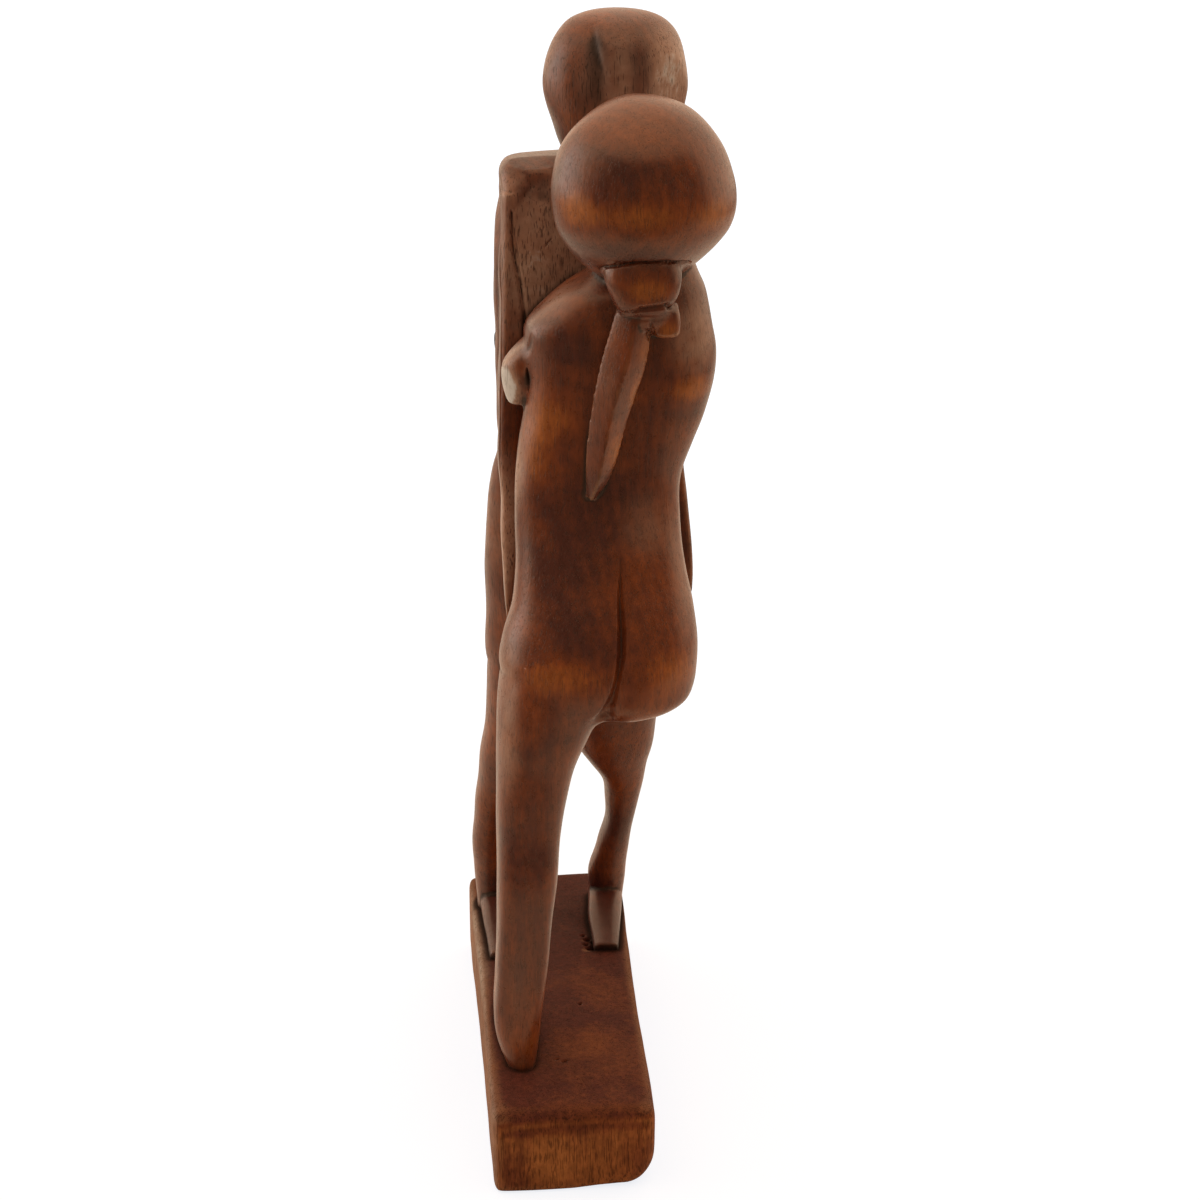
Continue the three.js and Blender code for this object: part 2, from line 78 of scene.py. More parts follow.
class Skin:
    """The surface of a carved piece: its points in millimetres and its triangles."""

    def __init__(self, points, triangles):
        self.points = np.array(points, float)
        self.take(triangles)

    def take(self, triangles):
        """Takes its triangles over, and works out the edges between its points."""
        count = len(self.points)
        self.triangles = np.array(triangles, int)
        sides = self.triangles[:, [0, 1, 1, 2, 2, 0]].reshape(-1, 2)
        self.side_keys = sides.min(axis=1) * count + sides.max(axis=1)
        self.edge_keys = np.unique(self.side_keys)
        self.edges = np.stack(np.divmod(self.edge_keys, count), axis=1)
        self.neighbours = np.bincount(self.edges.ravel(), minlength=count)

    def normals(self):
        a, b, c = (self.points[self.triangles[:, corner]] for corner in range(3))
        facing = np.cross(b - a, c - a)
        total = np.zeros_like(self.points)
        for corner in range(3):
            for axis in range(3):
                total[:, axis] += np.bincount(self.triangles[:, corner], facing[:, axis], len(total))
        return total / np.maximum(np.linalg.norm(total, axis=1), 1e-9)[:, None]

    def neighbour_mean(self, values):
        total = np.zeros_like(values)
        first, second = self.edges.T
        for axis in range(values.shape[1]):
            total[:, axis] = np.bincount(first, values[second, axis], len(values))
            total[:, axis] += np.bincount(second, values[first, axis], len(values))
        return total / self.neighbours[:, None]

    def soften(self, passes, share=0.5, where=None):
        """Rubs the surface down, everywhere or by the share of each point."""
        weight = share if where is None else (share * where)[:, None]
        for _ in range(passes):
            self.points += weight * (self.neighbour_mean(self.points) - self.points)

    def true_up(self, passes):
        """Takes out the steps of the roughing-out without shrinking the form."""
        for _ in range(passes):
            self.soften(1, 0.5)
            self.soften(1, -0.52)

    def near(self, middle, reach):
        """1 at a point, falling smoothly to 0 at its reach."""
        away = np.linalg.norm((self.points - middle) / reach, axis=1)
        return np.clip(1 - away ** 2, 0, 1) ** 2

    def press(self, middle, reach, depth):
        """Works a smooth hollow in, or leaves a swell where the depth is less than nothing."""
        self.points -= self.normals() * (depth * self.near(middle, reach))[:, None]

    def shave(self, middle, reach, facing, share=1.0):
        """Lays a blade at a point, square to the way it faces, and pares off what stands proud."""
        facing = np.array(facing, float) / np.linalg.norm(facing)
        proud = np.maximum((self.points - middle) @ facing, 0)
        held = np.clip(self.near(middle, reach) * 2.5, 0, 1)
        self.points -= (share * held * proud)[:, None] * facing

    def along(self, line, normals):
        """How far each point is from a line, over the surface, and where on the line it is nearest."""
        nearest = np.full(len(self.points), 1e9)
        place = np.zeros(len(self.points))
        line = np.array(line, float)[:, :3]
        low, high = line.min(axis=0) - CUT_REACH, line.max(axis=0) + CUT_REACH
        chosen = np.flatnonzero(((self.points > low) & (self.points < high)).all(axis=1))
        points, normals = self.points[chosen], normals[chosen]
        for k, (start, end) in enumerate(zip(line[:-1], line[1:])):
            step = np.clip((points - start) @ (end - start) / ((end - start) @ (end - start)), 0, 1)
            gap = points - start - step[:, None] * (end - start)
            lift = (gap * normals).sum(axis=1)
            away = np.linalg.norm(gap - lift[:, None] * normals, axis=1)
            away += np.maximum(np.abs(lift) - CUT_LIFT, 0)
            closer = away < nearest[chosen]
            nearest[chosen[closer]] = away[closer]
            place[chosen[closer]] = k + step[closer]
        return nearest, place

    def groove(self, *lines):
        """Draws a knife along lines of places, each with the half width and depth of the cut there."""
        normals = self.normals()
        for line in lines:
            away, place = self.along(line, normals)
            counts = np.arange(len(line))
            width = np.interp(place, counts, [cut[3] for cut in line])
            depth = np.interp(place, counts, [cut[4] for cut in line])
            self.points -= normals * (depth * np.exp(-(away / width) ** 2))[:, None]

    def unevenness(self, seed, spacing, depth):
        """The slight hollows and swells that a hand-held knife leaves."""
        random = np.random.default_rng(seed)
        height = np.zeros(len(self.points))
        for _ in range(WAVES):
            way = random.normal(size=3)
            way *= 2 * math.pi / np.linalg.norm(way) / (spacing * random.uniform(0.6, 1.8))
            height += np.sin(self.points @ way + random.uniform(0, 2 * math.pi))
        self.points += self.normals() * (depth * height / math.sqrt(WAVES))[:, None]

    def refine(self, lines, reach):
        """Splits the triangles near some lines, so that a finer cut can follow."""
        close = np.zeros(len(self.points), bool)
        normals = self.normals()
        for line in lines:
            close |= self.along(line, normals)[0] < reach
        split = close[self.edges].all(axis=1)
        number = np.full(len(self.edges), -1)
        number[split] = len(self.points) + np.arange(split.sum())
        middles = self.points[self.edges[split]].mean(axis=1)
        made = number[np.searchsorted(self.edge_keys, self.side_keys)].reshape(-1, 3)
        count = (made >= 0).sum(axis=1)
        kept = [self.triangles[count == 0]]
        whole, new = self.triangles[count == 3], made[count == 3]
        for k in range(3):
            kept.append(np.stack([whole[:, k], new[:, k], new[:, k - 1]], axis=1))
            one = (count == 1) & (made[:, k] >= 0)
            a, b, c = (self.triangles[one, (k + turn) % 3] for turn in range(3))
            kept.append(np.stack([a, made[one, k], c], axis=1))
            kept.append(np.stack([made[one, k], b, c], axis=1))
        kept.append(new)
        self.points = np.concatenate([self.points, middles])
        self.take(np.concatenate(kept))


def placed(name, data):
    """A new object in the scene."""
    made = bpy.data.objects.new(name, data)
    bpy.context.collection.objects.link(made)
    return made


def worked(made):
    """An object as its modifiers leave it."""
    return made.evaluated_get(bpy.context.evaluated_depsgraph_get())


def roughed_out(forms, fineness):
    """One skin round several overlapping forms, with points an even step apart."""
    corners = []
    faces = []
    for points, polygons in forms:
        faces += [[index + len(corners) for index in polygon] for polygon in polygons]
        corners += [tuple(point) for point in points]
    mesh = bpy.data.meshes.new("rough")
    mesh.from_pydata(corners, [], faces)
    rough = placed("rough", mesh)
    around = rough.modifiers.new("skin", "REMESH")
    around.mode = "VOXEL"
    around.voxel_size = fineness
    around.use_smooth_shade = True
    shaped = worked(rough).to_mesh()
    shaped.calc_loop_triangles()
    points = np.zeros(len(shaped.vertices) * 3)
    shaped.vertices.foreach_get("co", points)
    triangles = np.zeros(len(shaped.loop_triangles) * 3, np.int32)
    shaped.loop_triangles.foreach_get("vertices", triangles)
    rough.to_mesh_clear()
    bpy.data.objects.remove(rough)
    bpy.data.meshes.remove(mesh)
    return Skin(points.reshape(-1, 3), triangles.reshape(-1, 3))


def box_form(low, high):
    corners = list(product(*zip(low, high)))
    sides = [(0, 1, 3, 2), (4, 6, 7, 5), (0, 4, 5, 1), (2, 3, 7, 6), (0, 2, 6, 4), (1, 5, 7, 3)]
    return corners, sides


half_length = BASE_LENGTH / 2
half_width = 31
sawn_block = box_form((-half_width, -half_length, 0), (half_width, half_length, BASE_HEIGHT))
slab = roughed_out([sawn_block], BASE_FINENESS)
x, y, z = slab.points.T
# How far each arris is worn back, across and up: more on the right at the near end
near_end = np.clip(-y / half_length, 0, 1) ** 3
right = np.clip(x / half_width, 0, 1)
low = np.clip(1 - z / BASE_HEIGHT, 0, 1)
worn = np.stack([
    ARRIS_WEAR + near_end * (right * (2.5 + 7 * low) + (1 - right) * (1 - low)),
    ARRIS_WEAR + 0.6 * (1 - low) + near_end * (right * low * 2 + (1 - low) * 2.4),
    ARRIS_WEAR - 0.9 * low + near_end * (right * low * 12 + (1 - low) * 2.6),
], axis=1)
extent = np.array([half_width, half_length, BASE_HEIGHT / 2])
offset = slab.points - [0, 0, BASE_HEIGHT / 2]
core = np.clip(offset, worn - extent, extent - worn)
out = (offset - core) / worn
out /= np.maximum(np.linalg.norm(out, axis=1), 1)[:, None]
slab.points = core + out * worn + [0, 0, BASE_HEIGHT / 2]
x, y, z = slab.points.T
left_edge = np.interp(y, *zip(*BASE_LEFT))
right_edge = np.interp(y, *zip(*BASE_RIGHT))
share = (x + half_width) / (2 * half_width)
slab.points[:, 0] = left_edge * (1 - share) + right_edge * share
slab.soften(6, 0.5)
slab.soften(40, 0.5, slab.near((29, -102, 5), 13))
slab.unevenness(10, 45, 0.18)
# The dark line that a plane left under the near arris, and some small holes in the top
arris_line = [
    [-26, -101.2, 25.4, 1.5, 0.1],
    [-21, -102, 25.8, 2, 0.5],
    [-8, -102, 26.6, 1.6, 0.35],
    [8, -102, 27.2, 1.4, 0.15],
    [23, -102, 26.6, 1.5, 0.35],
    [26.6, -100.6, 25, 1.2, 0.1],
]
holes = [
    [[left, near, BASE_HEIGHT, wide, deep], [left + run, near + 0.4, BASE_HEIGHT, wide, deep]]
    for left, near, run, wide, deep in [
        (6.5, -19.7, 0.2, 0.6, 1.4),
        (-3, -64.4, 0.9, 0.6, 1.2),
        (-5.4, -62.6, 0.6, 0.5, 0.6),
        (13.3, 35.7, 0.4, 1, 2.6),
        (14.2, 28.4, 1.2, 1.4, 3.2),
        (12.4, 31.5, 0.5, 0.8, 2),
        (15.8, 33, 0.6, 0.8, 2),
        (11.8, 39.6, 0.3, 0.7, 1.4),
    ]
]
slab.refine([arris_line, *holes], 3)
slab.refine(holes, 2)
slab.groove(arris_line, *holes)


MOST_TRIANGLES = 188000
BOX_MARGIN = 0.03
box_low = np.array(solid_low) / MM + BOX_MARGIN
box_high = np.array(solid_high) / MM - BOX_MARGIN


def as_object(name, skin, slot, **marks):
    """A skin as an object in metres, with its marks. It stands for the solid and rides with it."""
    mesh = bpy.data.meshes.new(name)
    points = np.clip(skin.points, box_low, box_high)
    mesh.from_pydata((points * MM).tolist(), [], skin.triangles.tolist())
    mesh.shade_smooth()
    for mark, values in marks.items():
        mesh.attributes.new(mark, "FLOAT", "POINT").data.foreach_set("value", values.astype(np.float32))
    piece = placed(name, mesh)
    if len(skin.triangles) > MOST_TRIANGLES:
        thinned = piece.modifiers.new("thinned", "DECIMATE")
        thinned.ratio = MOST_TRIANGLES / len(skin.triangles)
        piece.data = bpy.data.meshes.new_from_object(worked(piece))
        piece.modifiers.clear()
        piece.data.name = name
    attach(piece, "root")
    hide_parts("carved_couple")
    return piece


def standing_proud(skin, passes):
    """How many millimetres each point stands above its surroundings, or below them where negative."""
    smooth = skin.points.copy()
    for _ in range(passes):
        smooth += 0.5 * (skin.neighbour_mean(smooth) - smooth)
    return ((skin.points - smooth) * skin.normals()).sum(axis=1)


# In millimetres: how proud a ridge stands to be lightened, how deep a nook is over a short and a
# long way to be darkened, how far dirt and painted shade reach from where two pieces meet, and the
# cubes used to find that place
RIDGE_START = 0.05
RIDGE_RISE = 0.22
FINE_NOOK = 0.14
BROAD_NOOK = 0.7
DIRT_AND_SHADE_REACH = 3
CELL = 4


def cells_of(points):
    """The small cube of space that each point lies in."""
    return list(map(tuple, np.floor(points / CELL).astype(int)))


def with_neighbours(cells):
    return {(a + i, b + j, c + k) for a, b, c in cells for i, j, k in product((-1, 0, 1), repeat=3)}


def rubbed_dirty_lit_and_shaded(skin, others):
    """Marks: ridge, lighter as rubbed wear and as a painted rim highlight; nook, darker as wax and dirt
    and as painted shade in hollows and where other pieces are close.
    """
    fine = standing_proud(skin, 6)
    broad = standing_proud(skin, 24)
    ridge = np.clip((fine - RIDGE_START) / RIDGE_RISE, 0, 1)
    nook = np.clip(-fine / FINE_NOOK, 0, 1) * 0.8 + np.clip(-broad / BROAD_NOOK, 0, 1) * 0.25
    neighbouring = with_neighbours(set().union(*(cells_of(other.points) for other in others)))
    possible = [k for k, cell in enumerate(cells_of(skin.points)) if cell in neighbouring]
    close = with_neighbours(set(cells_of(skin.points[possible])))
    points = np.concatenate([
        other.points[[cell in close for cell in cells_of(other.points)]]
        for other in others
    ])
    tree = KDTree(len(points))
    for k, point in enumerate(points):
        tree.insert(point, k)
    tree.balance()
    # Close to another piece: dirt and painted shade go into the nook, and the ridge's painted highlight
    # fades.
    for k in possible:
        gap = tree.find(skin.points[k])[2]
        if gap is not None and gap < DIRT_AND_SHADE_REACH:
            nook[k] += (1 - gap / DIRT_AND_SHADE_REACH) * 0.9
            ridge[k] *= gap / DIRT_AND_SHADE_REACH
    return {"ridge": np.clip(ridge, 0, 1), "nook": np.clip(nook, 0, 1)}


def spotted(skin, spots):
    """A mark that is strong at some places: each has its middle, its reach and its strength."""
    return sum(strength * skin.near(middle, reach) for middle, reach, strength in spots)


# THE WOMAN
# She stands on one leg with the other drawn up round the man's waist, her hair a smooth ball
# tied in a cuff, with one long pointed lock and a short stub below it. Knife work, sanded smooth.
FIGURE_FINENESS = 0.8
LOFT_STEP = 1.5
COUPLE_SHIFT = 1.5


def station_run(stations):
    """Stations (centre, half sizes, squareness) carried smoothly on at an even fine step."""
    table = np.array(stations, float)
    gaps = np.linalg.norm(np.diff(table[:, :5], axis=0), axis=1)
    slopes = np.diff(table, axis=0) / gaps[:, None]
    way = np.concatenate([slopes[:1], slopes, slopes[-1:]])
    weights = np.concatenate([gaps[:1], gaps, gaps[-1:]])[:, None]
    tangents = (way[:-1] * weights[1:] + way[1:] * weights[:-1]) / (weights[:-1] + weights[1:])
    run = []
    for k, gap in enumerate(gaps):
        count = max(1, round(gap / LOFT_STEP))
        for t in np.arange(count) / count:
            ahead = t * t * (3 - 2 * t)
            pull = gap * (t - 2 * t * t + t ** 3)
            push = gap * (t ** 3 - t * t)
            point = table[k] * (1 - ahead) + table[k + 1] * ahead
            run.append(point + tangents[k] * pull + tangents[k + 1] * push)
    run.append(table[-1])
    return np.array(run)


RING_SIDES = 72
END_TURNS = np.radians([10, 20, 30, 40, 50, 60, 70, 78, 84, 88])


def lofted(centres, across, along, sizes, start, end):
    """A closed form through rings, rounded over the given lengths at its start and end."""
    angles = np.linspace(0, 2 * math.pi, RING_SIDES, endpoint=False)
    cosine, sine = np.cos(angles), np.sin(angles)

    def ring(k, small=1.0, shift=0.0):
        power = 2 / sizes[k][2]
        u = np.sign(cosine) * np.abs(cosine) ** power * sizes[k][0] * small
        v = np.sign(sine) * np.abs(sine) ** power * sizes[k][1] * small
        middle = centres[k] + np.cross(across[k], along[k]) * shift
        return middle + u[:, None] * across[k] + v[:, None] * along[k]

    rings = [ring(k) for k in range(len(centres))]
    if start:
        rings = [ring(0, math.cos(a), -start * math.sin(a)) for a in END_TURNS[::-1]] + rings
    if end:
        rings += [ring(-1, math.cos(a), end * math.sin(a)) for a in END_TURNS]
    last = (len(rings) - 1) * RING_SIDES
    faces = []
    for first in range(0, last, RING_SIDES):
        for k in range(RING_SIDES):
            a, b = first + k, first + (k + 1) % RING_SIDES
            faces.append((a, b, b + RING_SIDES, a + RING_SIDES))
    faces.append(tuple(range(RING_SIDES)))
    faces.append(tuple(range(last, last + RING_SIDES)))
    return np.concatenate(rings), faces


def column(stations, foot=0.0, crown=0.0):
    """An upright form. Each station: height, centre x, half width, centre y, half depth, squareness"""
    moved = [(x, y, z, width, depth, square) for z, x, width, y, depth, square in stations]
    run = station_run(moved)
    across = np.tile([1.0, 0, 0], (len(run), 1))
    along = np.tile([0, 1.0, 0], (len(run), 1))
    return lofted(run[:, :3], across, along, run[:, 3:], foot, crown)


def limb(stations, start=0.0, end=0.0, up=(0, 0, 1)):
    """A limb that runs any way. Each station: x, y, z, half width, half height, squareness"""
    run = station_run(stations)
    way = np.gradient(run[:, :3], axis=0)
    way /= np.linalg.norm(way, axis=1)[:, None]
    across = np.cross(np.array(up, float), way)
    across /= np.linalg.norm(across, axis=1)[:, None]
    along = np.cross(way, across)
    return lofted(run[:, :3], across, along, run[:, 3:], start, end)


CREASE_WIDTH = 1.5
FACE_EASE = 8


def pared_cheek(skin, crease, side, facing, head_y, width, depth):
    """Pares a cheek away beside the nose: steep at the crease, easing out to the side of the head."""
    x, y, z = skin.points.T
    heights, places = zip(*crease)
    off = (x - np.interp(z, heights, places)) * side
    steep = np.exp(-(np.minimum(off, 0) / CREASE_WIDTH) ** 2)
    easing = np.clip(1 - np.maximum(off, 0) / width, 0, 1)
    easing = easing * easing * (3 - 2 * easing)
    up = np.clip((z - heights[0]) / (heights[-1] - heights[0]), 0, 1)
    window = np.sqrt(np.sin(math.pi * up))
    front = np.clip((y - head_y) * facing / FACE_EASE, 0, 1)
    skin.points[:, 1] -= facing * depth * steep * easing * window * front


woman_torso = column([
    [166, 14, 20, -50, 13, 2.1],
    [168.2, 14, 26.5, -48.5, 18, 2.2],
    [171.5, 13.2, 31.3, -47, 21.5, 2.3],
    [176, 12.4, 34, -45, 24, 2.3],
    [183, 11.8, 35.6, -43, 26, 2.4],
    [192, 12.7, 35.2, -41.5, 25.6, 2.4],
    [203, 13.8, 32.8, -39.5, 24, 2.4],
    [216, 13.2, 30.8, -36.5, 21.5, 2.4],
    [234, 12.4, 29.8, -33, 18.7, 2.4],
    [250, 12.8, 29.9, -31, 18, 2.4],
    [262, 15.6, 31.1, -29.5, 19.3, 2.4],
    [273, 19, 32.3, -28, 21, 2.4],
    [285, 21.2, 33.3, -27, 22.5, 2.5],
    [296, 21.1, 33.8, -26, 23.5, 2.5],
    [304, 20.6, 32.9, -26, 23.5, 2.5],
    [311, 23, 29.3, -26, 23, 2.4],
    [317, 25.6, 25.2, -26.5, 21.8, 2.3],
    [323, 28.7, 19.3, -27, 19, 2.1],
    [332, 31, 13.5, -28.5, 15, 2],
], foot=1.2)
# Where her shoulders lean on his chest
shoulder_slope = column([
    [280, 21, 31, -8, 11, 2.6],
    [292, 21.1, 33, -8, 11, 2.6],
    [300, 20.6, 32.2, -8, 11, 2.6],
    [307, 23, 28.6, -8, 11, 2.5],
    [313, 25.6, 24.6, -8, 11, 2.4],
    [319, 28.7, 18.8, -8, 11, 2.3],
    [327, 31, 13, -8, 11, 2.2],
])
standing_leg = column([
    [28, -18.2, 4.3, -65, 7, 2.2],
    [32.5, -18.6, 5, -65, 7.8, 2.2],
    [39, -19.3, 6.9, -63.5, 8.8, 2.2],
    [46, -19.6, 8.3, -62.5, 9.4, 2.6],
    [54, -19.3, 9.1, -61.5, 9.7, 3.4],
    [66, -18.2, 9.4, -60.5, 10, 4],
    [86, -16.7, 9.8, -58.5, 11.5, 4],
    [103, -15.5, 10.7, -57, 12.5, 3.7],
    [120, -14.6, 11.5, -54.5, 13, 3.1],
    [135, -13.2, 12.9, -52.5, 14.5, 2.6],
    [148, -11.2, 14.5, -50, 16.5, 2.4],
    [158, -8.4, 16.9, -48, 19, 2.4],
    [168, -6, 19, -46, 21, 2.3],
    [180, -6, 17.5, -44, 21, 2.3],
    [192, -6, 15, -42, 18, 2.3],
])
standing_foot = limb([
    [-18.6, -60, 36, 5.5, 7, 2.2],
    [-18.8, -50, 35.5, 6.8, 8, 2.2],
    [-19.2, -37, 34.2, 7.3, 6.4, 2.4],
    [-19.4, -24, 33, 7, 4.6, 2.6],
    [-19.4, -13, 32.6, 6, 3.2, 2.6],
], start=4, end=3)
drawn_up_leg = limb([
    [28, -48, 184, 16, 16.5, 2.2],
    [34, -28, 182, 15, 16.5, 2.2],
    [38.6, -8, 179, 12.5, 15.5, 2.2],
    [41.5, 13, 176, 10.5, 14, 2.2],
    [43.4, 32, 173, 8.8, 13, 2.2],
    [41.5, 46, 170.5, 8.2, 12, 2.2],
    [34.5, 55.5, 168, 7.6, 10.5, 2.2],
    [24, 60.2, 165, 6.8, 9, 2.2],
    [10, 62.2, 161, 6, 8, 2.2],
    [-4, 61.3, 157, 5, 7, 2.2],
    [-13, 58.6, 154.5, 4, 5.5, 2.2],
], start=6, end=4)
ball_of_hair = column([
    [322.8, 26.5, 13, -38, 12.7, 2],
    [326.6, 26.3, 18.5, -38, 18, 2],
    [330.9, 26.6, 23.2, -38, 22.6, 2],
    [335.6, 27.1, 27.2, -38, 26.5, 2],
    [340.9, 27.8, 30.3, -38, 29.5, 2],
    [346.5, 28.2, 31.7, -38, 30.9, 2],
    [353, 28, 32, -38, 31.2, 2],
    [361, 27.6, 30.4, -38, 29.6, 2],
    [367.5, 27.3, 28.1, -38, 27.4, 2],
    [372.5, 27.3, 25, -38, 24.4, 2],
    [377, 27.5, 21.1, -38, 20.6, 2],
    [380.7, 27.6, 16.6, -38, 16.2, 2],
    [383.6, 27.2, 11.2, -38, 10.9, 2],
    [385.3, 26.6, 6, -38, 5.8, 2],
    [385.9, 26.2, 2, -38, 1.9, 2],
])
woman_neck = column([
    [312, 28, 13, -30, 12, 2],
    [336, 27, 13, -35, 13, 2],
])
hair_cuff = column([
    [313.8, 27.1, 8.6, -54, 7, 3],
    [317, 26.9, 10.4, -54, 8.8, 3],
    [321, 26.8, 12, -53.5, 10, 3],
    [325.5, 26.5, 13.3, -52.5, 11.2, 2.8],
    [330, 26.4, 13.4, -51, 12, 2.6],
    [334, 26.4, 12.6, -49, 12, 2.4],
])
long_lock = limb([
    [24.4, -52, 316, 6.2, 6, 1.3],
    [22.8, -53, 308.5, 7, 6.4, 1.2],
    [21.6, -53.5, 302.5, 7.6, 6.6, 1.15],
    [19.6, -54, 294.5, 8, 6.8, 1.12],
    [17.7, -54, 288, 7.5, 6.8, 1.12],
    [14.8, -53, 275.5, 6.8, 6.5, 1.12],
    [12.5, -52.2, 262.5, 6, 6, 1.12],
    [10.7, -51.6, 253, 4.1, 5, 1.15],
    [8.7, -51, 246.5, 1.6, 3, 1.2],
], up=(0, -1, 0))
short_stub = limb([
    [30.5, -52.5, 317.5, 6.5, 4, 2.6],
    [34.3, -53.5, 311.5, 5.2, 5, 3],
    [34.6, -53.5, 306.5, 4.8, 5, 3],
], end=2, up=(0, -1, 0))
root = column([
    [308.5, 28, 6.5, -52.5, 5.5, 3],
    [311, 29, 8.6, -52.8, 6.4, 3],
    [316, 29.6, 9.2, -53, 6.6, 3],
])
elbow = column([
    [276, -14.6, 4.6, -22, 7, 2.4],
    [279, -13.9, 6.2, -22, 8.4, 2.5],
    [283.5, -13.7, 7.1, -22, 9.4, 2.6],
    [288.5, -13.4, 7, -22, 10, 2.6],
    [291.5, -12, 6.6, -22, 10.4, 2.6],
    [294.5, -10.2, 5.8, -22.5, 10.6, 2.6],
    [298, -7.4, 5, -23, 10.6, 2.6],
], foot=2)
left_forearm = limb([
    [-15, -20, 284, 4.6, 7, 2.4],
    [-13.5, -9, 284, 4.4, 6.6, 2.4],
    [-10, 2, 284.5, 4.2, 6.4, 2.4],
])
right_forearm = limb([
    [48.5, -22, 283, 5, 7.5, 2.4],
    [45, -10, 283.5, 4.6, 6.8, 2.4],
    [38, 2, 284.5, 4.2, 6.4, 2.4],
])
BACK_MIDDLE = 13.6
hands = [limb([
    [BACK_MIDDLE - side * 32.2, 25.5, 285, 3.6, 6, 2.4],
    [BACK_MIDDLE - side * 30.6, 31, 285.5, 3.6, 6, 2.4],
    [BACK_MIDDLE - side * 26.2, 34.4, 286.5, 3.6, 6, 2.4],
    [BACK_MIDDLE - side * 20.1, 36.4, 288, 3.6, 5.8, 2.4],
    [BACK_MIDDLE - side * 13.6, 37.6, 290, 3.2, 5, 2.4],
    [BACK_MIDDLE - side * 8.1, 38.2, 292, 2.6, 3.6, 2.4],
], end=1.5) for side in (1, -1)]
woman_skin = roughed_out([
    woman_torso, shoulder_slope, standing_leg, standing_foot, drawn_up_leg, ball_of_hair, woman_neck,
    hair_cuff, long_lock, short_stub, root, elbow, left_forearm, right_forearm, *hands,
], FIGURE_FINENESS)
woman_skin.true_up(4)
woman_skin.soften(120, 0.5, np.sqrt(woman_skin.near((-2, -58, 170), (24, 30, 22))))
for passes, middle, reach in [
    (40, (28, -48, 178), 24),
    (40, (38, -20, 185), 24),
    (30, (2, -15, 310), (26, 18, 22)),
    (60, (-12, -32, 296), (9, 10, 12)),
    (30, (44, -15, 310), (20, 18, 22)),
]:
    woman_skin.soften(passes, 0.5, woman_skin.near(middle, reach))
woman_skin.unevenness(11, 34, 0.22)
# Her face looks into his chest: a plain nose between two pared cheeks
for side in (-1, 1):
    crease = [(334, 26.2 + side * 3.5), (350, 26.2 + side * 5), (374, 26.2 + side * 9)]
    pared_cheek(woman_skin, crease, side, 1, -38, 17, 4)
# The seat: a broad valley first, then the knife line down its middle
woman_skin.groove([
    [19, -54, 226, 5, 0],
    [18.6, -60, 211, 6, 0.9],
    [18.4, -66.5, 195, 7, 1.6],
    [15.4, -69, 177, 6, 1.8],
    [12.5, -66, 167, 5, 1.6],
])
cleft = [
    [18.6, -53, 231, 0.6, 0],
    [18.9, -54.7, 226, 0.6, 0.35],
    [19, -56.2, 220, 0.7, 0.8],
    [18.6, -59.8, 211.4, 1, 1.6],
    [18.9, -63.9, 201.5, 1.2, 2.4],
    [18.6, -66.6, 193.2, 1.2, 2.4],
    [17.7, -68, 188, 1, 2],
    [16.6, -68.9, 182.7, 0.9, 1.8],
    [15.4, -69, 177.1, 1, 2],
    [13.8, -68.7, 172.5, 1.3, 2.4],
    [12.5, -66, 167.5, 2.2, 2.6],
]
cuff_top = [
    [12.4, -51.5, 329.2, 0.5, 0],
    [12.7, -54.5, 329.6, 0.6, 0.7],
    [17, -60.5, 331.5, 0.6, 0.9],
    [24.6, -62.4, 332.9, 0.6, 1],
    [33, -62, 332.8, 0.6, 1],
    [39, -58, 331.9, 0.6, 1],
    [41.5, -55, 331.2, 0.6, 0.9],
    [42.6, -52, 330.6, 0.5, 0.3],
]
cuff_foot = [
    [14.6, -49.8, 314, 0.7, 0.2],
    [18, -56, 315, 0.8, 1.2],
    [24.7, -62.2, 316.7, 0.8, 1.3],
    [33.7, -61.5, 318, 0.8, 1.3],
    [36.5, -57, 318, 0.8, 1.2],
    [38, -51, 317, 0.8, 0.7],
]
lock_and_stub = [
    [28.6, -59, 313, 0.5, 0],
    [28.9, -58, 310.5, 0.6, 0.7],
    [29.2, -57, 308, 0.6, 0.9],
    [29.6, -55, 304, 0.6, 0.6],
]
elbow_slit = [
    [-12.2, -32.6, 290, 0.4, 0.1],
    [-12.1, -32.6, 288.4, 0.5, 1.4],
    [-11.9, -32.6, 285, 0.65, 2.2],
    [-11.8, -32.6, 282.4, 0.6, 1.6],
    [-12, -32, 280.6, 0.4, 0.1],
]
finger_lines = [[
    [BACK_MIDDLE - side * 31.4, 33.4, 285.5 + up, 0.6, 0],
    [BACK_MIDDLE - side * 27, 37.4, 286.8 + up, 0.6, 0.8],
    [BACK_MIDDLE - side * 20, 39.6, 288.2 + up * 0.9, 0.6, 0.9],
    [BACK_MIDDLE - side * 13, 40.6, 290.4 + up * 0.75, 0.6, 0.8],
] for side in (1, -1) for up in (-2.6, 0, 2.6)]
carved_lines = [cleft, cuff_top, cuff_foot, lock_and_stub, elbow_slit, *finger_lines]
woman_skin.refine(carved_lines, 3.2)
woman_skin.refine(carved_lines, 2)
woman_skin.groove(*carved_lines)
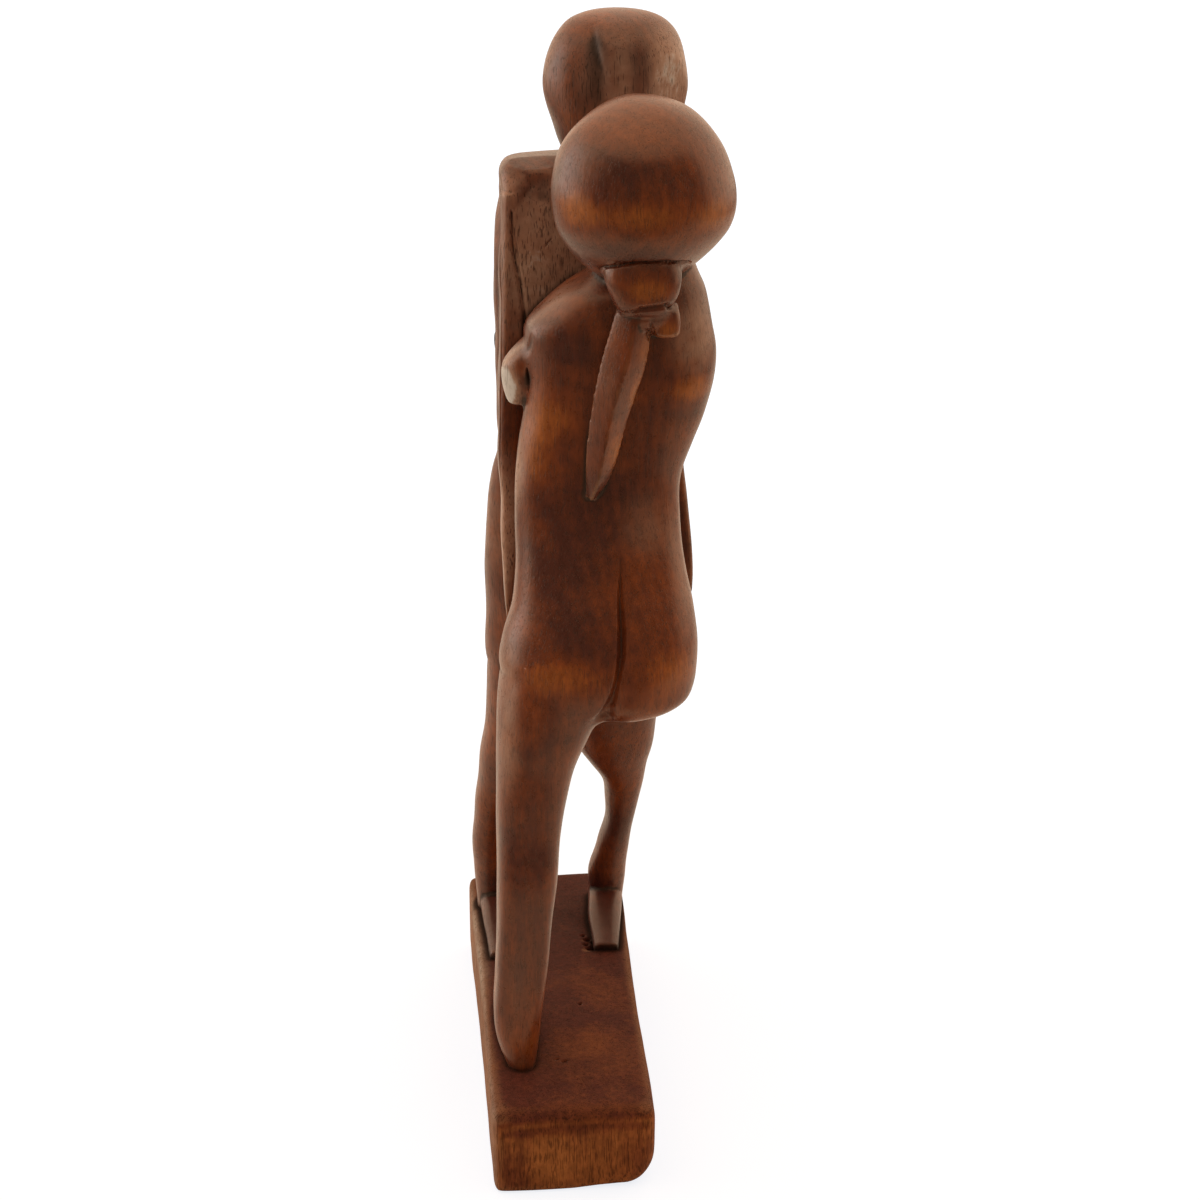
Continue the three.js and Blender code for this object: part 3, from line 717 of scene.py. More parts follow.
# Flats left by the blade: on the stub's shoulder, the lobe over the elbow and the elbow
woman_skin.shave((35.5, -56.5, 316), (7, 7, 5), (0.45, -0.45, 0.8), 0.8)
woman_skin.shave((-13.6, -31.2, 300.2), (6, 8, 7), (-0.7, -0.6, -0.15), 0.6)
woman_skin.shave((-18.6, -27.6, 282), (9, 12, 14), (-0.72, -0.68, -0.05), 0.5)
woman_marks = {}
# Spots that shift the colour, lighter or darker: stain, and also painted light and shade, such as the lit
# orange band round the lower ball and at the waist.
woman_marks["stain_light_and_shade"] = spotted(woman_skin, [
    ((-8, -42, 274), (20, 24, 15), 1),
    ((-12, -40, 258), (14, 20, 16), 1),
    ((12, -50, 243), (26, 30, 22), -0.85),
    ((-2, -53, 224), (24, 20, 24), -0.75),
    ((34, -50, 262), (12, 20, 24), -0.4),
    ((30, -60, 300), (16, 20, 20), -0.2),
    ((0, -48, 300), (18, 20, 16), -0.9),
    ((45, -43, 284), (14, 18, 9), 1.3),
    ((36, -60, 185), (24, 20, 17), 0.95),
    ((28, -58, 170), (14, 20, 8), 0.8),
    ((-2, -62, 184), (27, 20, 13), 1.05),
    ((0, -60, 200), (22, 20, 14), -0.6),
    ((-6, -60, 160), (18, 20, 10), -0.7),
    ((0, -62, 350), (17, 24, 12), 1.6),
    ((52, -60, 348), (16, 24, 9), 1.2),
    ((24, -70, 349), (26, 20, 9), 0.95),
    ((19, -70, 366), (19, 24, 11), -0.85),
    ((38, -66, 359), (12, 20, 7), -0.45),
    ((8, -66, 373), (13, 20, 9), -0.75),
    ((30, -60, 379), (8, 24, 6), 0.35),
    ((12, -60, 384), (8, 24, 6), 0.5),
    ((26, -66, 336), (26, 20, 5), -0.9),
    ((-17, -70, 112), (16, 20, 34), -0.7),
    ((-6, -70, 122), (14, 20, 36), -0.5),
    ((-16, -70, 76), (10, 20, 22), -0.5),
    ((-15, -70, 42), (14, 20, 12), 0.6),
    ((27, -64, 323), (14, 10, 8), 1.2),
    ((35, -58, 308), (8, 8, 7), 1.2),
    ((27, -54, 300), (6, 9, 14), 1.3),
    ((24, -54, 284), (6, 9, 14), 1.3),
    ((17, -53, 264), (6, 9, 16), 1.2),
])
# Spots of grey haze: dust, and also painted sheen, the window's reflection on the left of the thigh, the
# top of the ball and her right side, and painted light on the shoulder that his chest shades; scuffed pale
# at the elbow, which is real wear.
woman_marks["wear_and_sheen"] = spotted(woman_skin, [
    ((-20, -25, 281), (9, 14, 13), 2.9),
    ((-17, -27, 292), (8, 8, 8), 0.6),
    ((-24, -54, 186), (10, 16, 24), 0.75),
    ((-22, -61, 160), (8, 12, 34), 0.75),
    ((-17.5, -36, 254), (6, 13, 24), 1.25),
    ((46, -42, 215), (15, 22, 42), 0.7),
    ((-2, -30, 313), (18, 14, 14), 0.48),
    ((27, -44, 378), (38, 40, 20), 0.44),
    ((8, -62, 366), (14, 20, 10), 0.3),
    ((13, -62, 171), (5, 9, 5), 0.3),
    ((0, -38, 314), (26, 20, 12), 0.2),
    ((15, -60, 292), (6, 8, 26), 0.3),
    ((46, -44, 303), (16, 20, 22), 0.95),
    ((30, -52, 236), (18, 20, 20), 0.55),
    ((-20, -66, 60), (8, 14, 30), 0.3),
])
woman_marks["raw"] = spotted(woman_skin, [
    ((40, -57, 329), (8, 8, 5), 1),
    ((26.5, -62, 324), (14, 8, 8), 0.5),
    ((-14, -28, 275), 8, 0.7),
])
woman_skin.points[:, 1] += COUPLE_SHIFT


# THE MAN
# He stands behind her with his legs apart, square in the shoulder, his arms flat planks that run
# down either side of her. His head is an egg with a plain forehead and nose between two hollows.
man_back = column([
    [132, 9.5, 22, 44, 10, 2.3],
    [143, 9.5, 31, 43, 16, 2.4],
    [154, 9.5, 35, 41.7, 20.5, 2.4],
    [175, 9.5, 35.5, 40, 21.5, 2.4],
    [197, 9.5, 35.3, 38, 20.5, 2.4],
    [213, 9.8, 35.2, 35.5, 18.8, 2.4],
    [224, 10.3, 35, 33.5, 17.5, 2.4],
    [234, 11.6, 34.2, 31.5, 16.5, 2.4],
    [243, 13, 33.6, 29.5, 15.8, 2.4],
    [255, 13.4, 34.4, 27.5, 15.5, 2.5],
    [272, 13.5, 35, 24.5, 15.5, 2.6],
    [285, 13.6, 35.2, 22.8, 16.2, 2.7],
    [300, 13.8, 35.4, 21, 17, 2.8],
    [325, 13.9, 35.4, 20, 17.5, 2.8],
    [335, 14, 34.8, 20, 17, 2.8],
    [341, 14.2, 33.5, 20, 16.3, 2.8],
    [347, 14.6, 32.2, 19.6, 15.4, 2.8],
], crown=6)
man_chest = column([
    [268, 14.5, 22, 16, 9, 4],
    [280, 14.5, 30, 12, 12, 5],
    [300, 14.4, 34.2, 9.8, 14, 6],
    [330, 14.4, 34.1, 12.5, 15, 6],
    [343, 14.6, 33.8, 14.5, 15.5, 6],
    [346.5, 14.6, 33.7, 15, 16, 6],
    [350, 14.8, 34.2, 17, 16.3, 5],
    [353, 14.8, 33.6, 17.5, 15, 4.5],
    [355.4, 15, 31.6, 18, 12, 4],
], crown=1.4)
left_plank_arm = column([
    [188, -19.4, 0.5, -15, 2, 3],
    [193, -19.2, 1.1, -14, 3.5, 3.5],
    [203, -18.9, 2, -12, 5, 4],
    [214, -18.2, 2.9, -9, 6, 4],
    [232, -17.6, 3.7, -4.5, 7, 4.5],
    [250, -17.3, 4.4, 0, 8, 4.5],
    [269, -16, 5.2, 4, 10, 4.5],
    [300, -15, 5.4, 9, 13, 4.5],
    [345, -13.6, 5.8, 13.5, 14, 4.5],
], foot=1.5)
right_plank_arm = column([
    [199, 47.2, 1.6, -13, 3.5, 3.5],
    [206, 46.2, 3.2, -11, 5, 4],
    [214, 45.2, 4.3, -9, 6, 4],
    [232, 43.2, 4.6, -4.5, 7, 4.5],
    [250, 41.6, 4.6, 0, 8, 4.5],
    [269, 41.4, 5.2, 4, 10, 4.5],
    [300, 42, 5.4, 9, 13, 4.5],
    [345, 42, 5.8, 13.5, 14, 4.5],
], foot=1.5)
right_leg = column([
    [28, 24, 7, 73, 7.5, 2.4],
    [40, 23.9, 7.2, 71.5, 8, 2.4],
    [48, 24, 7.5, 69, 8.2, 2.4],
    [63, 26, 6.6, 63, 8.5, 2.4],
    [78, 28.3, 6.1, 57.5, 9.5, 2.4],
    [86, 28.9, 6.8, 55, 10, 2.4],
    [96, 29.2, 8.2, 52, 11, 2.4],
    [106, 27.1, 11.6, 49, 13, 2.4],
    [114, 25.4, 14.9, 46.5, 14.5, 2.4],
    [126, 23.4, 18.5, 44.5, 17, 2.4],
    [140, 23.3, 20.4, 43, 19, 2.4],
    [154, 24.5, 19.6, 42, 19.5, 2.4],
    [168, 25, 17, 41, 18, 2.4],
])
left_leg = column([
    [28, -22.8, 7, 73, 7.5, 2.4],
    [43, -23.2, 7.5, 70, 8.2, 2.4],
    [61, -24.6, 7.3, 63, 8.8, 2.4],
    [78, -24.4, 7, 57.5, 9.8, 2.4],
    [87, -23.4, 7.5, 55, 10.5, 2.4],
    [98, -20.8, 8.9, 52, 12, 2.4],
    [111, -16, 12.5, 48.5, 14.5, 2.4],
    [126, -9.5, 17.2, 45, 17, 2.4],
    [140, -5.8, 20.2, 43, 19, 2.4],
    [154, -5, 20, 42, 19.5, 2.4],
    [168, -5, 17, 41, 18, 2.4],
])
right_foot = limb([
    [23.4, 76, 36.5, 6.6, 6.5, 2.4],
    [23.2, 66, 35.5, 7.1, 6.3, 2.6],
    [21.6, 50, 34.4, 6.6, 4.5, 3],
    [20.3, 24, 32.8, 4.9, 2.8, 3.4],
], start=4)
left_foot = limb([
    [-22.8, 77, 36.5, 6.6, 6.5, 2.4],
    [-22.6, 67, 35.5, 6.6, 6.3, 2.6],
    [-22.4, 50, 34.4, 5.7, 4.4, 3],
    [-22.4, 20.5, 32.8, 4, 2.6, 3.4],
], start=4)
man_neck = column([
    [344, 19, 13, 23, 13, 2.2],
    [364, 22, 15, 23, 15, 2.2],
])
man_head = column([
    [346, 23, 10, 13, 10, 2.2],
    [351, 23, 14.4, 14.5, 14.2, 2.2],
    [356.5, 23, 18.4, 16.5, 18.5, 2.2],
    [362, 23.2, 21.2, 18.3, 21.6, 2.2],
    [368, 23.4, 23.2, 19.8, 23.8, 2.2],
    [374.5, 23.2, 25, 20.7, 25.4, 2.1],
    [380.5, 23.2, 26.2, 21, 26.2, 2],
    [386, 23.1, 26.1, 21, 26.2, 2],
    [391, 23.1, 25.3, 21, 25.3, 2],
    [395.6, 23.3, 23.8, 21, 23.8, 2],
    [400.2, 23.6, 21, 21, 21, 2],
    [403.4, 23.6, 17.7, 21, 17.7, 2],
    [405.9, 23.7, 12.8, 21, 12.8, 2],
    [407.5, 23.5, 6.8, 21, 6.8, 2],
    [408, 23.4, 2.5, 21, 2.5, 2],
])
man_skin = roughed_out([
    man_back, man_chest, left_plank_arm, right_plank_arm, right_leg, left_leg, right_foot, left_foot,
    man_neck, man_head,
], FIGURE_FINENESS)
man_skin.true_up(4)
man_skin.unevenness(12, 26, 0.26)
# His face: the left cheek is cut deep beside the nose, the right one is one broad flat
crease_line = [
    [13.2, 8, 405.5, 1.8, 0],
    [13.2, 3.8, 402.2, 1.8, 0.35],
    [13.3, 0.1, 397.4, 1.8, 0.6],
    [14.2, -1.9, 393.2, 2, 0.65],
    [15.4, -3.1, 389.1, 2.2, 0.5],
    [16.4, -3.3, 383, 2.6, 0.3],
    [17.6, -3, 374, 2.8, 0.2],
]
left_crease = [
    (357, 19.6), (365, 18.4), (375, 17.5), (384, 16.2), (393.2, 14.3), (402.2, 13.3), (406, 13.2),
]
right_crease = [(357, 27), (370, 30), (382, 31.4), (392.2, 31.8), (398.9, 31.6), (404, 31.6)]
man_skin.shave((38, 2.2, 384), (30, 30, 44), (0.7, -0.7, -0.13), 0.9)
pared_cheek(man_skin, left_crease, -1, -1, 21, 14, 2.6)
pared_cheek(man_skin, right_crease, 1, -1, 21, 7, 0.5)
man_skin.press((24, -4, 383), (13, 14, 14), 1.6)
man_skin.soften(24, 0.5, man_skin.near((24, 0, 385), 40))
# The shoulders: a flat on top, a flat at each outer corner, a hollow where the chest begins
for side in (-1, 1):
    man_skin.shave((14.5 + side * 24, 9, 355), (16, 13, 6), (side * 0.05, -0.3, 0.95), 0.9)
    man_skin.shave((14.5 + side * 31.6, 2.2, 350), (9, 9, 14), (side * 0.62, -0.72, 0.3), 0.9)
    man_skin.press((14.5 + side * 20, -0.4, 346.5), (9, 6, 7), 1.6)
    man_skin.soften(60, 0.5, man_skin.near((14.5 + side * 27, 30, 352), (22, 14, 12)))
# The cuts on his chest, down the edges of his arms and down his back
left_cut = [
    [-16, -0.8, 340, 0.6, 0],
    [-15.9, -0.9, 338.5, 0.6, 1],
    [-15.5, -1.9, 327.1, 0.7, 1.2],
    [-14.9, -2.4, 321.8, 0.7, 1.1],
    [-13.9, -3.1, 316.4, 0.7, 1.1],
    [-12.9, -3.7, 311.1, 0.8, 1.2],
    [-11.9, -3.9, 303.4, 0.8, 1.2],
    [-11.5, -4, 294, 0.8, 1],
]
second_cut = [
    [-14.9, -1.2, 334.5, 0.4, 0],
    [-14.7, -1.5, 331.8, 0.5, 0.5],
    [-14.1, -2.1, 325.3, 0.5, 0.7],
    [-13.7, -2.8, 319.7, 0.5, 0.4],
    [-12.6, -3.2, 313, 0.5, 0.5],
]
shoulder_hollow = [
    [-13, 6, 353, 1.2, 0],
    [-11.2, 3.2, 351.6, 1.2, 0.4],
    [-8.4, 0.3, 347.8, 1.2, 0.55],
    [-11.2, -0.5, 343.8, 1.2, 0.5],
    [-13.6, -0.8, 340.5, 1.1, 0.2],
]
nick = [
    [-4.4, -2.8, 325.8, 0.4, 0],
    [-3.6, -2.8, 327, 0.4, 0.5],
    [-2, -2.6, 329, 0.4, 0.5],
    [-1.2, -2.5, 330, 0.4, 0],
]
left_arm_edge = [
    [-19.3, 9.5, 346, 0.6, 0.2],
    [-19.4, 8.2, 341.6, 0.6, 0.9],
    [-19.6, 5.7, 331.1, 0.6, 1],
    [-20, 2.1, 317.3, 0.6, 1],
    [-20.1, 0.5, 302.9, 0.6, 1],
    [-20.4, -1.4, 288.5, 0.6, 1],
    [-20.8, -3.2, 270.2, 0.6, 1],
    [-21.3, -5.1, 255.6, 0.6, 0.8],
    [-21.4, -8, 236, 0.6, 0.3],
]
right_cut = [
    [44.3, -0.8, 340, 0.6, 0],
    [43.6, -1.6, 330, 0.7, 1],
    [42.8, -2.6, 318, 0.7, 1.1],
    [41.8, -3.6, 306, 0.8, 1.1],
    [41.2, -4, 296, 0.8, 0.8],
]
right_arm_edge = [
    [48.3, 9, 345, 0.6, 0.2],
    [48.2, 5, 330, 0.6, 0.9],
    [48, 1, 310, 0.6, 1],
    [47.6, -1.6, 288, 0.6, 1],
    [46.8, -4, 262, 0.6, 0.6],
]
back_valley = [
    [9.6, 60, 226, 0.8, 0],
    [9.6, 60.5, 210, 1.1, 1.2],
    [9.6, 62, 192, 1.4, 2.2],
    [9.6, 62, 175, 1.5, 2.4],
    [9.6, 61, 158, 1.6, 2.2],
    [9.6, 58, 146, 1.8, 1.6],
]
knife_lines = [
    left_cut, second_cut, shoulder_hollow, nick, left_arm_edge, right_cut, right_arm_edge, back_valley,
]
man_skin.refine([crease_line, *knife_lines], 2.8)
man_skin.refine(knife_lines, 1.7)
man_skin.groove(crease_line, *knife_lines)
man_marks = {}
# Spots that shift the colour, lighter or darker: stain, and also painted light and shade, the shade in the
# crease beside the nose and in the hollow under the shoulder, light on the cheeks and the outer shoulder
# facet; the feet much darker.
man_marks["stain_light_and_shade"] = spotted(man_skin, [
    ((4, -4, 393), (11, 14, 13), 0.95),
    ((0, -2, 368), (12, 14, 18), 1.3),
    ((24, -5, 388), (8, 10, 10), -0.15),
    ((24, -5, 374), (9, 10, 9), -0.35),
    ((14.5, -2, 392), (6, 9, 18), -1.1),
    ((11, -3, 380), (8, 9, 12), -0.9),
    ((30.5, -2, 388), (7, 10, 18), -0.55),
    ((40, -2, 374), (8, 12, 10), 1.2),
    ((44, -2, 388), (12, 16, 16), 1.1),
    ((-6, -2, 347), (12, 8, 6), -0.8),
    ((-18, 0, 350), (7, 10, 14), 0.7),
    ((-6, -4, 325), (12, 10, 22), 0.15),
    ((-12, 60, 130), 26, 0.2),
    ((-22, 60, 60), 20, -0.3),
    ((28, 50, 80), 22, -0.5),
    ((22, 40, 40), (14, 44, 20), -2),
    ((-22, 40, 40), (14, 44, 20), -1.8),
])
# Spots of grey haze: dust, and also painted sheen and painted light, on the chest where her head shades
# it, on the right of the head and down the left arm; less on the side of the arm.
man_marks["wear_and_sheen"] = spotted(man_skin, [
    ((14, -8, 322), (70, 26, 60), 1.05),
    ((24, -2, 386), (36, 24, 36), 0.6),
    ((44, 4, 386), (18, 28, 30), 1.12),
    ((30.5, -3, 388), (7, 10, 18), -0.35),
    ((-18, 2, 349), (7, 12, 10), 0.5),
    ((24, -5, 384), (9, 12, 20), 0.4),
    ((-20, -12, 224), (10, 22, 44), 1.05),
    ((-9, -3, 322), (12, 9, 36), 0.34),
    ((-22, 30, 318), (8, 32, 64), -0.9),
    ((-24, 30, 216), (12, 30, 40), 0.5),
])
man_marks["raw"] = spotted(man_skin, [
    ((12, -3, 382), (6, 8, 18), 1),
    ((-4, -4, 322), (20, 12, 30), 0.9),
    ((40, -4, 322), (20, 12, 30), 0.7),
])
man_skin.points[:, 1] += COUPLE_SHIFT


# THE WEAR, PAINTED LIGHT AND PAINTED SHADE
# Hands have rubbed the ridges lighter, and the lightening is also a painted rim highlight; wax and
# dirt have settled in the nooks and where the two figures and the base meet, and the darkening
# there is also painted shade. Each skin is compared with the ones that it touches.
slab_marks = rubbed_dirty_lit_and_shaded(slab, [woman_skin, man_skin])
# The top darker, as the end grain takes more stain, and darker again towards the far end; the band under
# the near arris is painted shade; a few spots lighter or darker.
facing_up = np.clip(slab.normals()[:, 2] * 2, 0, 1)
slab_marks["stain_light_and_shade"] = 0.9 - facing_up * (1.35 + 0.7 * np.clip(slab.points[:, 1] / 60, 0, 1))
slab_marks["stain_light_and_shade"] += spotted(slab, [
    ((0, -52, 32), (22, 16, 8), 0.4),
    ((14, -20, 32), (14, 16, 8), 0.3),
    ((-24, -100, 8), 14, -0.35),
    ((0, -101, 26), (44, 7, 5), -0.4),
    ((-22, -74, 32), 9, -1),
    ((13, 34, 32), 12, -1),
    ((-10, -102, 13), (14, 10, 14), 0.55),
    ((24, -102, 13), (16, 10, 16), -0.45),
])
# A painted sheen on the faces turned to the left and along the left top arris, where the wood mirrors the
# bright window.
slab_marks["wear_and_sheen"] = 0.55 * np.clip(-slab.normals()[:, 0] * 2 - 0.8, 0, 1)
slab_marks["wear_and_sheen"] += spotted(slab, [((-31, 30, 31), (7, 70, 8), 0.7)])
slab_marks["raw"] = np.ones(len(slab.points))
slab_marks["ridge"] += spotted(slab, [((0, -101, 25), (44, 8, 8), -0.8)])
# The top also darker towards the far end.
slab_marks["nook"] += 0.3 * facing_up * np.clip(slab.points[:, 1] / 60, 0, 1)
woman_marks.update(rubbed_dirty_lit_and_shaded(woman_skin, [slab, man_skin]))
woman_marks["ridge"] += spotted(woman_skin, [
    ((20, -54, 282), (14, 12, 44), -0.6),
    ((-6, -66, 96), (24, 24, 80), -0.4),
])
# A painted shadow in the slit beside the elbow.
woman_marks["nook"] += spotted(woman_skin, [((-12, -31.1, 285.5), (2.4, 6, 6), 1.1)])
man_marks.update(rubbed_dirty_lit_and_shaded(man_skin, [slab, woman_skin]))
man_marks["ridge"] += spotted(man_skin, [
    ((16, -2, 394), (9, 12, 20), -0.9),
    ((-22, 40, 34), (16, 46, 16), -0.8),
    ((21, 40, 34), (16, 46, 16), -0.8),
])
# His feet darker, and painted shade in the crease beside his nose; less darkening at the ankles.
man_marks["nook"] += spotted(man_skin, [
    ((-22, 44, 34), (14, 44, 16), 0.5),
    ((22, 44, 34), (14, 44, 16), 0.5),
    ((14, -1, 396), (6, 10, 18), 0.8),
    ((13.2, 2, 401), (5, 9, 9), 0.5),
    ((13, -3, 380), (8, 10, 14), 0.5),
    ((23, 64, 47), (13, 18, 8), -0.7),
    ((-22.6, 64, 47), (13, 18, 8), -0.35),
])
base = as_object("carved_base", slab, "hardwood", **slab_marks)
woman = as_object("carved_woman", woman_skin, "hardwood", **woman_marks)
man = as_object("carved_man", man_skin, "hardwood", **man_marks)


# THE FINISH
# Open-grained hardwood, stained red-brown and waxed to a satin sheen. The pores run upright, so
# they show as dark dashes on the figures and as dots on the top of the base.


def wired(tree, kind, inputs=None, **settings):
    """A node with its settings, and each input set to a value or linked to another node's output."""
    made = tree.nodes.new(kind)
    for name, value in settings.items():
        setattr(made, name, value)
    for name, value in (inputs or {}).items():
        if isinstance(value, bpy.types.NodeSocket):
            tree.links.new(value, made.inputs[name])
        else:
            made.inputs[name].default_value = value
    return made


def sums(tree, operation, first, second=0.0, third=0.0):
    return wired(tree, "ShaderNodeMath", {0: first, 1: second, 2: third}, operation=operation).outputs[0]


def ramp(tree, value, low, high, to_low=0.0, to_high=1.0):
    """A smooth step from one value to another."""
    inputs = {"Value": value, "From Min": low, "From Max": high, "To Min": to_low, "To Max": to_high}
    return wired(tree, "ShaderNodeMapRange", inputs, interpolation_type="SMOOTHSTEP").outputs[0]


def plus(tree, total, *parts):
    """A total with each value added so many times."""
    for value, times in parts:
        total = sums(tree, "MULTIPLY_ADD", value, times, total)
    return total


def grey(tree, value):
    return wired(tree, "ShaderNodeCombineColor", {0: value, 1: value, 2: value}).outputs[0]


def blended(tree, share, first, second, blend="MIX"):
    made = wired(tree, "ShaderNodeMix", data_type="RGBA", blend_type=blend)
    for socket, value in zip([made.inputs[0], made.inputs[6], made.inputs[7]], [share, first, second]):
        if isinstance(value, bpy.types.NodeSocket):
            tree.links.new(value, socket)
        else:
            socket.default_value = value
    return made.outputs[2]


def patchiness(tree, place, stretch, detail=2.0, roughness=0.5, distortion=0.0):
    """Noise whose patches have the given sizes in millimetres across, along and up."""
    scale = [1 / MM / size for size in stretch]
    scaled = wired(tree, "ShaderNodeVectorMath", {0: place, 1: scale}, operation="MULTIPLY").outputs[0]
    inputs = {
        "Vector": scaled, "Scale": 1.0, "Detail": detail, "Roughness": roughness, "Distortion": distortion,
    }
    return wired(tree, "ShaderNodeTexNoise", inputs).outputs["Fac"]


wood = bpy.data.node_groups.new("hardwood", "ShaderNodeTree")
for name, default in [
    ("Amber", (0.38, 0.115, 0.022, 1)),
    ("Heart", (0.225, 0.052, 0.013, 1)),
    ("Stain", (0.082, 0.021, 0.014, 1)),
    ("Rubbed_and_rim_lit", (0.33, 0.15, 0.07, 1)),
    ("Haze", (0.38, 0.222, 0.158, 1)),
    ("Pores", 1.0),
    ("Rubbing", 0.2),
    ("Rings", 0.22),
    ("Fleck", 0.32),
]:
    kind = "NodeSocketColor" if isinstance(default, tuple) else "NodeSocketFloat"
    wood.interface.new_socket(name, in_out="INPUT", socket_type=kind).default_value = default
for name, kind in [("Color", "Color"), ("Roughness", "Float"), ("Height", "Float")]:
    wood.interface.new_socket(name, in_out="OUTPUT", socket_type="NodeSocket" + kind)
given = wood.nodes.new("NodeGroupInput").outputs
place = wired(wood, "ShaderNodeTexCoord").outputs["Object"]
ridge, nook, stain_light_and_shade, wear_and_sheen, raw = [
    wired(wood, "ShaderNodeAttribute", attribute_name=mark).outputs["Fac"]
    for mark in ("ridge", "nook", "stain_light_and_shade", "wear_and_sheen", "raw")
]

# Growth bands: shells round a pith that lies outside the block, wandering as they rise
PITH = (0.19, 0.13, 0)
BAND = 4.5
from_pith = wired(wood, "ShaderNodeVectorMath", {0: place, 1: PITH}, operation="SUBTRACT").outputs[0]
level = wired(wood, "ShaderNodeVectorMath", {0: from_pith, 1: (1, 1, 0)}, operation="MULTIPLY")
radius = wired(wood, "ShaderNodeVectorMath", {0: level.outputs[0]}, operation="LENGTH").outputs["Value"]
wander = sums(wood, "MULTIPLY", patchiness(wood, place, (30, 30, 160), 2), 14.0)
turns = plus(wood, wander, (radius, 1 / MM / BAND * 2 * math.pi))
bands = plus(wood, 0.5, (sums(wood, "SINE", turns), 0.5))

# Pores, fine and wide, which crowd together and are more open where the wood is raw
crowding = patchiness(wood, place, (7, 7, 30), 2)
pores = 0.0
for size, fewness, rawness, softness in [
    ((0.42, 0.42, 5.5), 0.69, -0.045, 0.06),
    ((0.95, 0.95, 6), 0.84, -0.1, 0.05),
]:
    edge = plus(wood, fewness, (crowding, -0.16), (raw, rawness))
    over = sums(wood, "SUBTRACT", patchiness(wood, place, size, 1, 0.4), edge)
    pores = sums(wood, "MAXIMUM", pores, ramp(wood, over, 0.0, softness))

# The colour: from the dark of the stain at a take of 0 to the red of the heart at 1, then amber. The
# placed spots that shift it are stain and also painted light and shade.
fibre = patchiness(wood, place, (1.1, 1.1, 26), 3, 0.6)
cloud = patchiness(wood, place, (46, 46, 30), 4, 0.6, 0.3)
speckle = patchiness(wood, place, (2.4, 2.4, 4), 3, 0.65)
mottled = ramp(wood, patchiness(wood, place, (15, 15, 9), 3, 0.6, 0.6), 0.32, 0.68)
take = sums(wood, "SUBTRACT", ramp(wood, cloud, 0.3, 0.7, 0.18, 0.82), 0.56)
take = plus(wood, take, (bands, given["Rings"]), (mottled, 0.26), (fibre, 0.64), (stain_light_and_shade, 0.6))
colour = blended(wood, take, given["Stain"], given["Heart"])
glowing = plus(wood, stain_light_and_shade, (cloud, 0.8), (fibre, 0.9))
colour = blended(wood, ramp(wood, glowing, 1.2, 2.2, 0.0, 0.85), colour, given["Amber"])
dull = plus(wood, 0.97, (ramp(wood, speckle, 0.35, 0.7), given["Fleck"]), (given["Fleck"], -0.5))
colour = blended(wood, 1.0, colour, grey(wood, dull), "MULTIPLY")

# Ridges lighter as rubbed wear and painted rim highlight; worn places under a grey haze of dust and
# painted sheen, the most worn scuffed pale, which there is also painted light; wax and painted shade
# in the nooks; and the open pores
PALE_WEAR_AND_LIGHT = (0.63, 0.6, 0.57, 1)
WAX_AND_SHADE_DARK = (0.012, 0.006, 0.004, 1)
PORE_DARK = (0.016, 0.007, 0.004, 1)
colour = blended(wood, ramp(wood, ridge, 0.05, 1.0, 0.0, 0.4), colour, given["Rubbed_and_rim_lit"])
dust_and_sheen_patches = plus(wood, 0.48, (speckle, 0.6), (mottled, -0.3))
hazed = sums(wood, "MULTIPLY", ramp(wood, wear_and_sheen, 0.0, 1.2, 0.0, 1.25), dust_and_sheen_patches)
colour = blended(wood, hazed, colour, given["Haze"])
pale_wear_and_light = ramp(wood, plus(wood, wear_and_sheen, (speckle, 1.2)), 1.7, 2.4)
colour = blended(wood, pale_wear_and_light, colour, PALE_WEAR_AND_LIGHT)
wax_and_shade = ramp(wood, nook, 0.1, 1.0, 0.0, 0.9)
colour = blended(wood, wax_and_shade, colour, WAX_AND_SHADE_DARK)
open_pores = sums(wood, "MULTIPLY", pores, given["Pores"])
colour = blended(wood, sums(wood, "MULTIPLY", open_pores, 0.62), colour, PORE_DARK)
rough = plus(wood, given["Rubbing"], (speckle, 0.14), (pale_wear_and_light, 0.3), (open_pores, 0.2), (wax_and_shade, 0.3))
height = plus(wood, 0.0, (open_pores, -0.09), (fibre, 0.09), (speckle, 0.05))
wired(wood, "NodeGroupOutput", {"Color": colour, "Roughness": rough, "Height": height})


def stained(name, gloss, **values):
    """The wood with one piece's own gloss and values."""
    material = bpy.data.materials.new(name)
    material.use_nodes = True
    tree = material.node_tree
    grain = wired(tree, "ShaderNodeGroup", node_tree=wood)
    for socket, value in values.items():
        grain.inputs[socket.capitalize()].default_value = value
    relief = {"Height": grain.outputs["Height"], "Distance": MM, "Strength": 0.8}
    bump = wired(tree, "ShaderNodeBump", relief)
    shader = tree.nodes["Principled BSDF"]
    tree.links.new(grain.outputs["Color"], shader.inputs["Base Color"])
    tree.links.new(grain.outputs["Roughness"], shader.inputs["Roughness"])
    tree.links.new(bump.outputs["Normal"], shader.inputs["Normal"])
    shader.inputs["Specular IOR Level"].default_value = gloss
    shader.inputs["Specular Tint"].default_value = (1, 0.76, 0.6, 1)
    return material


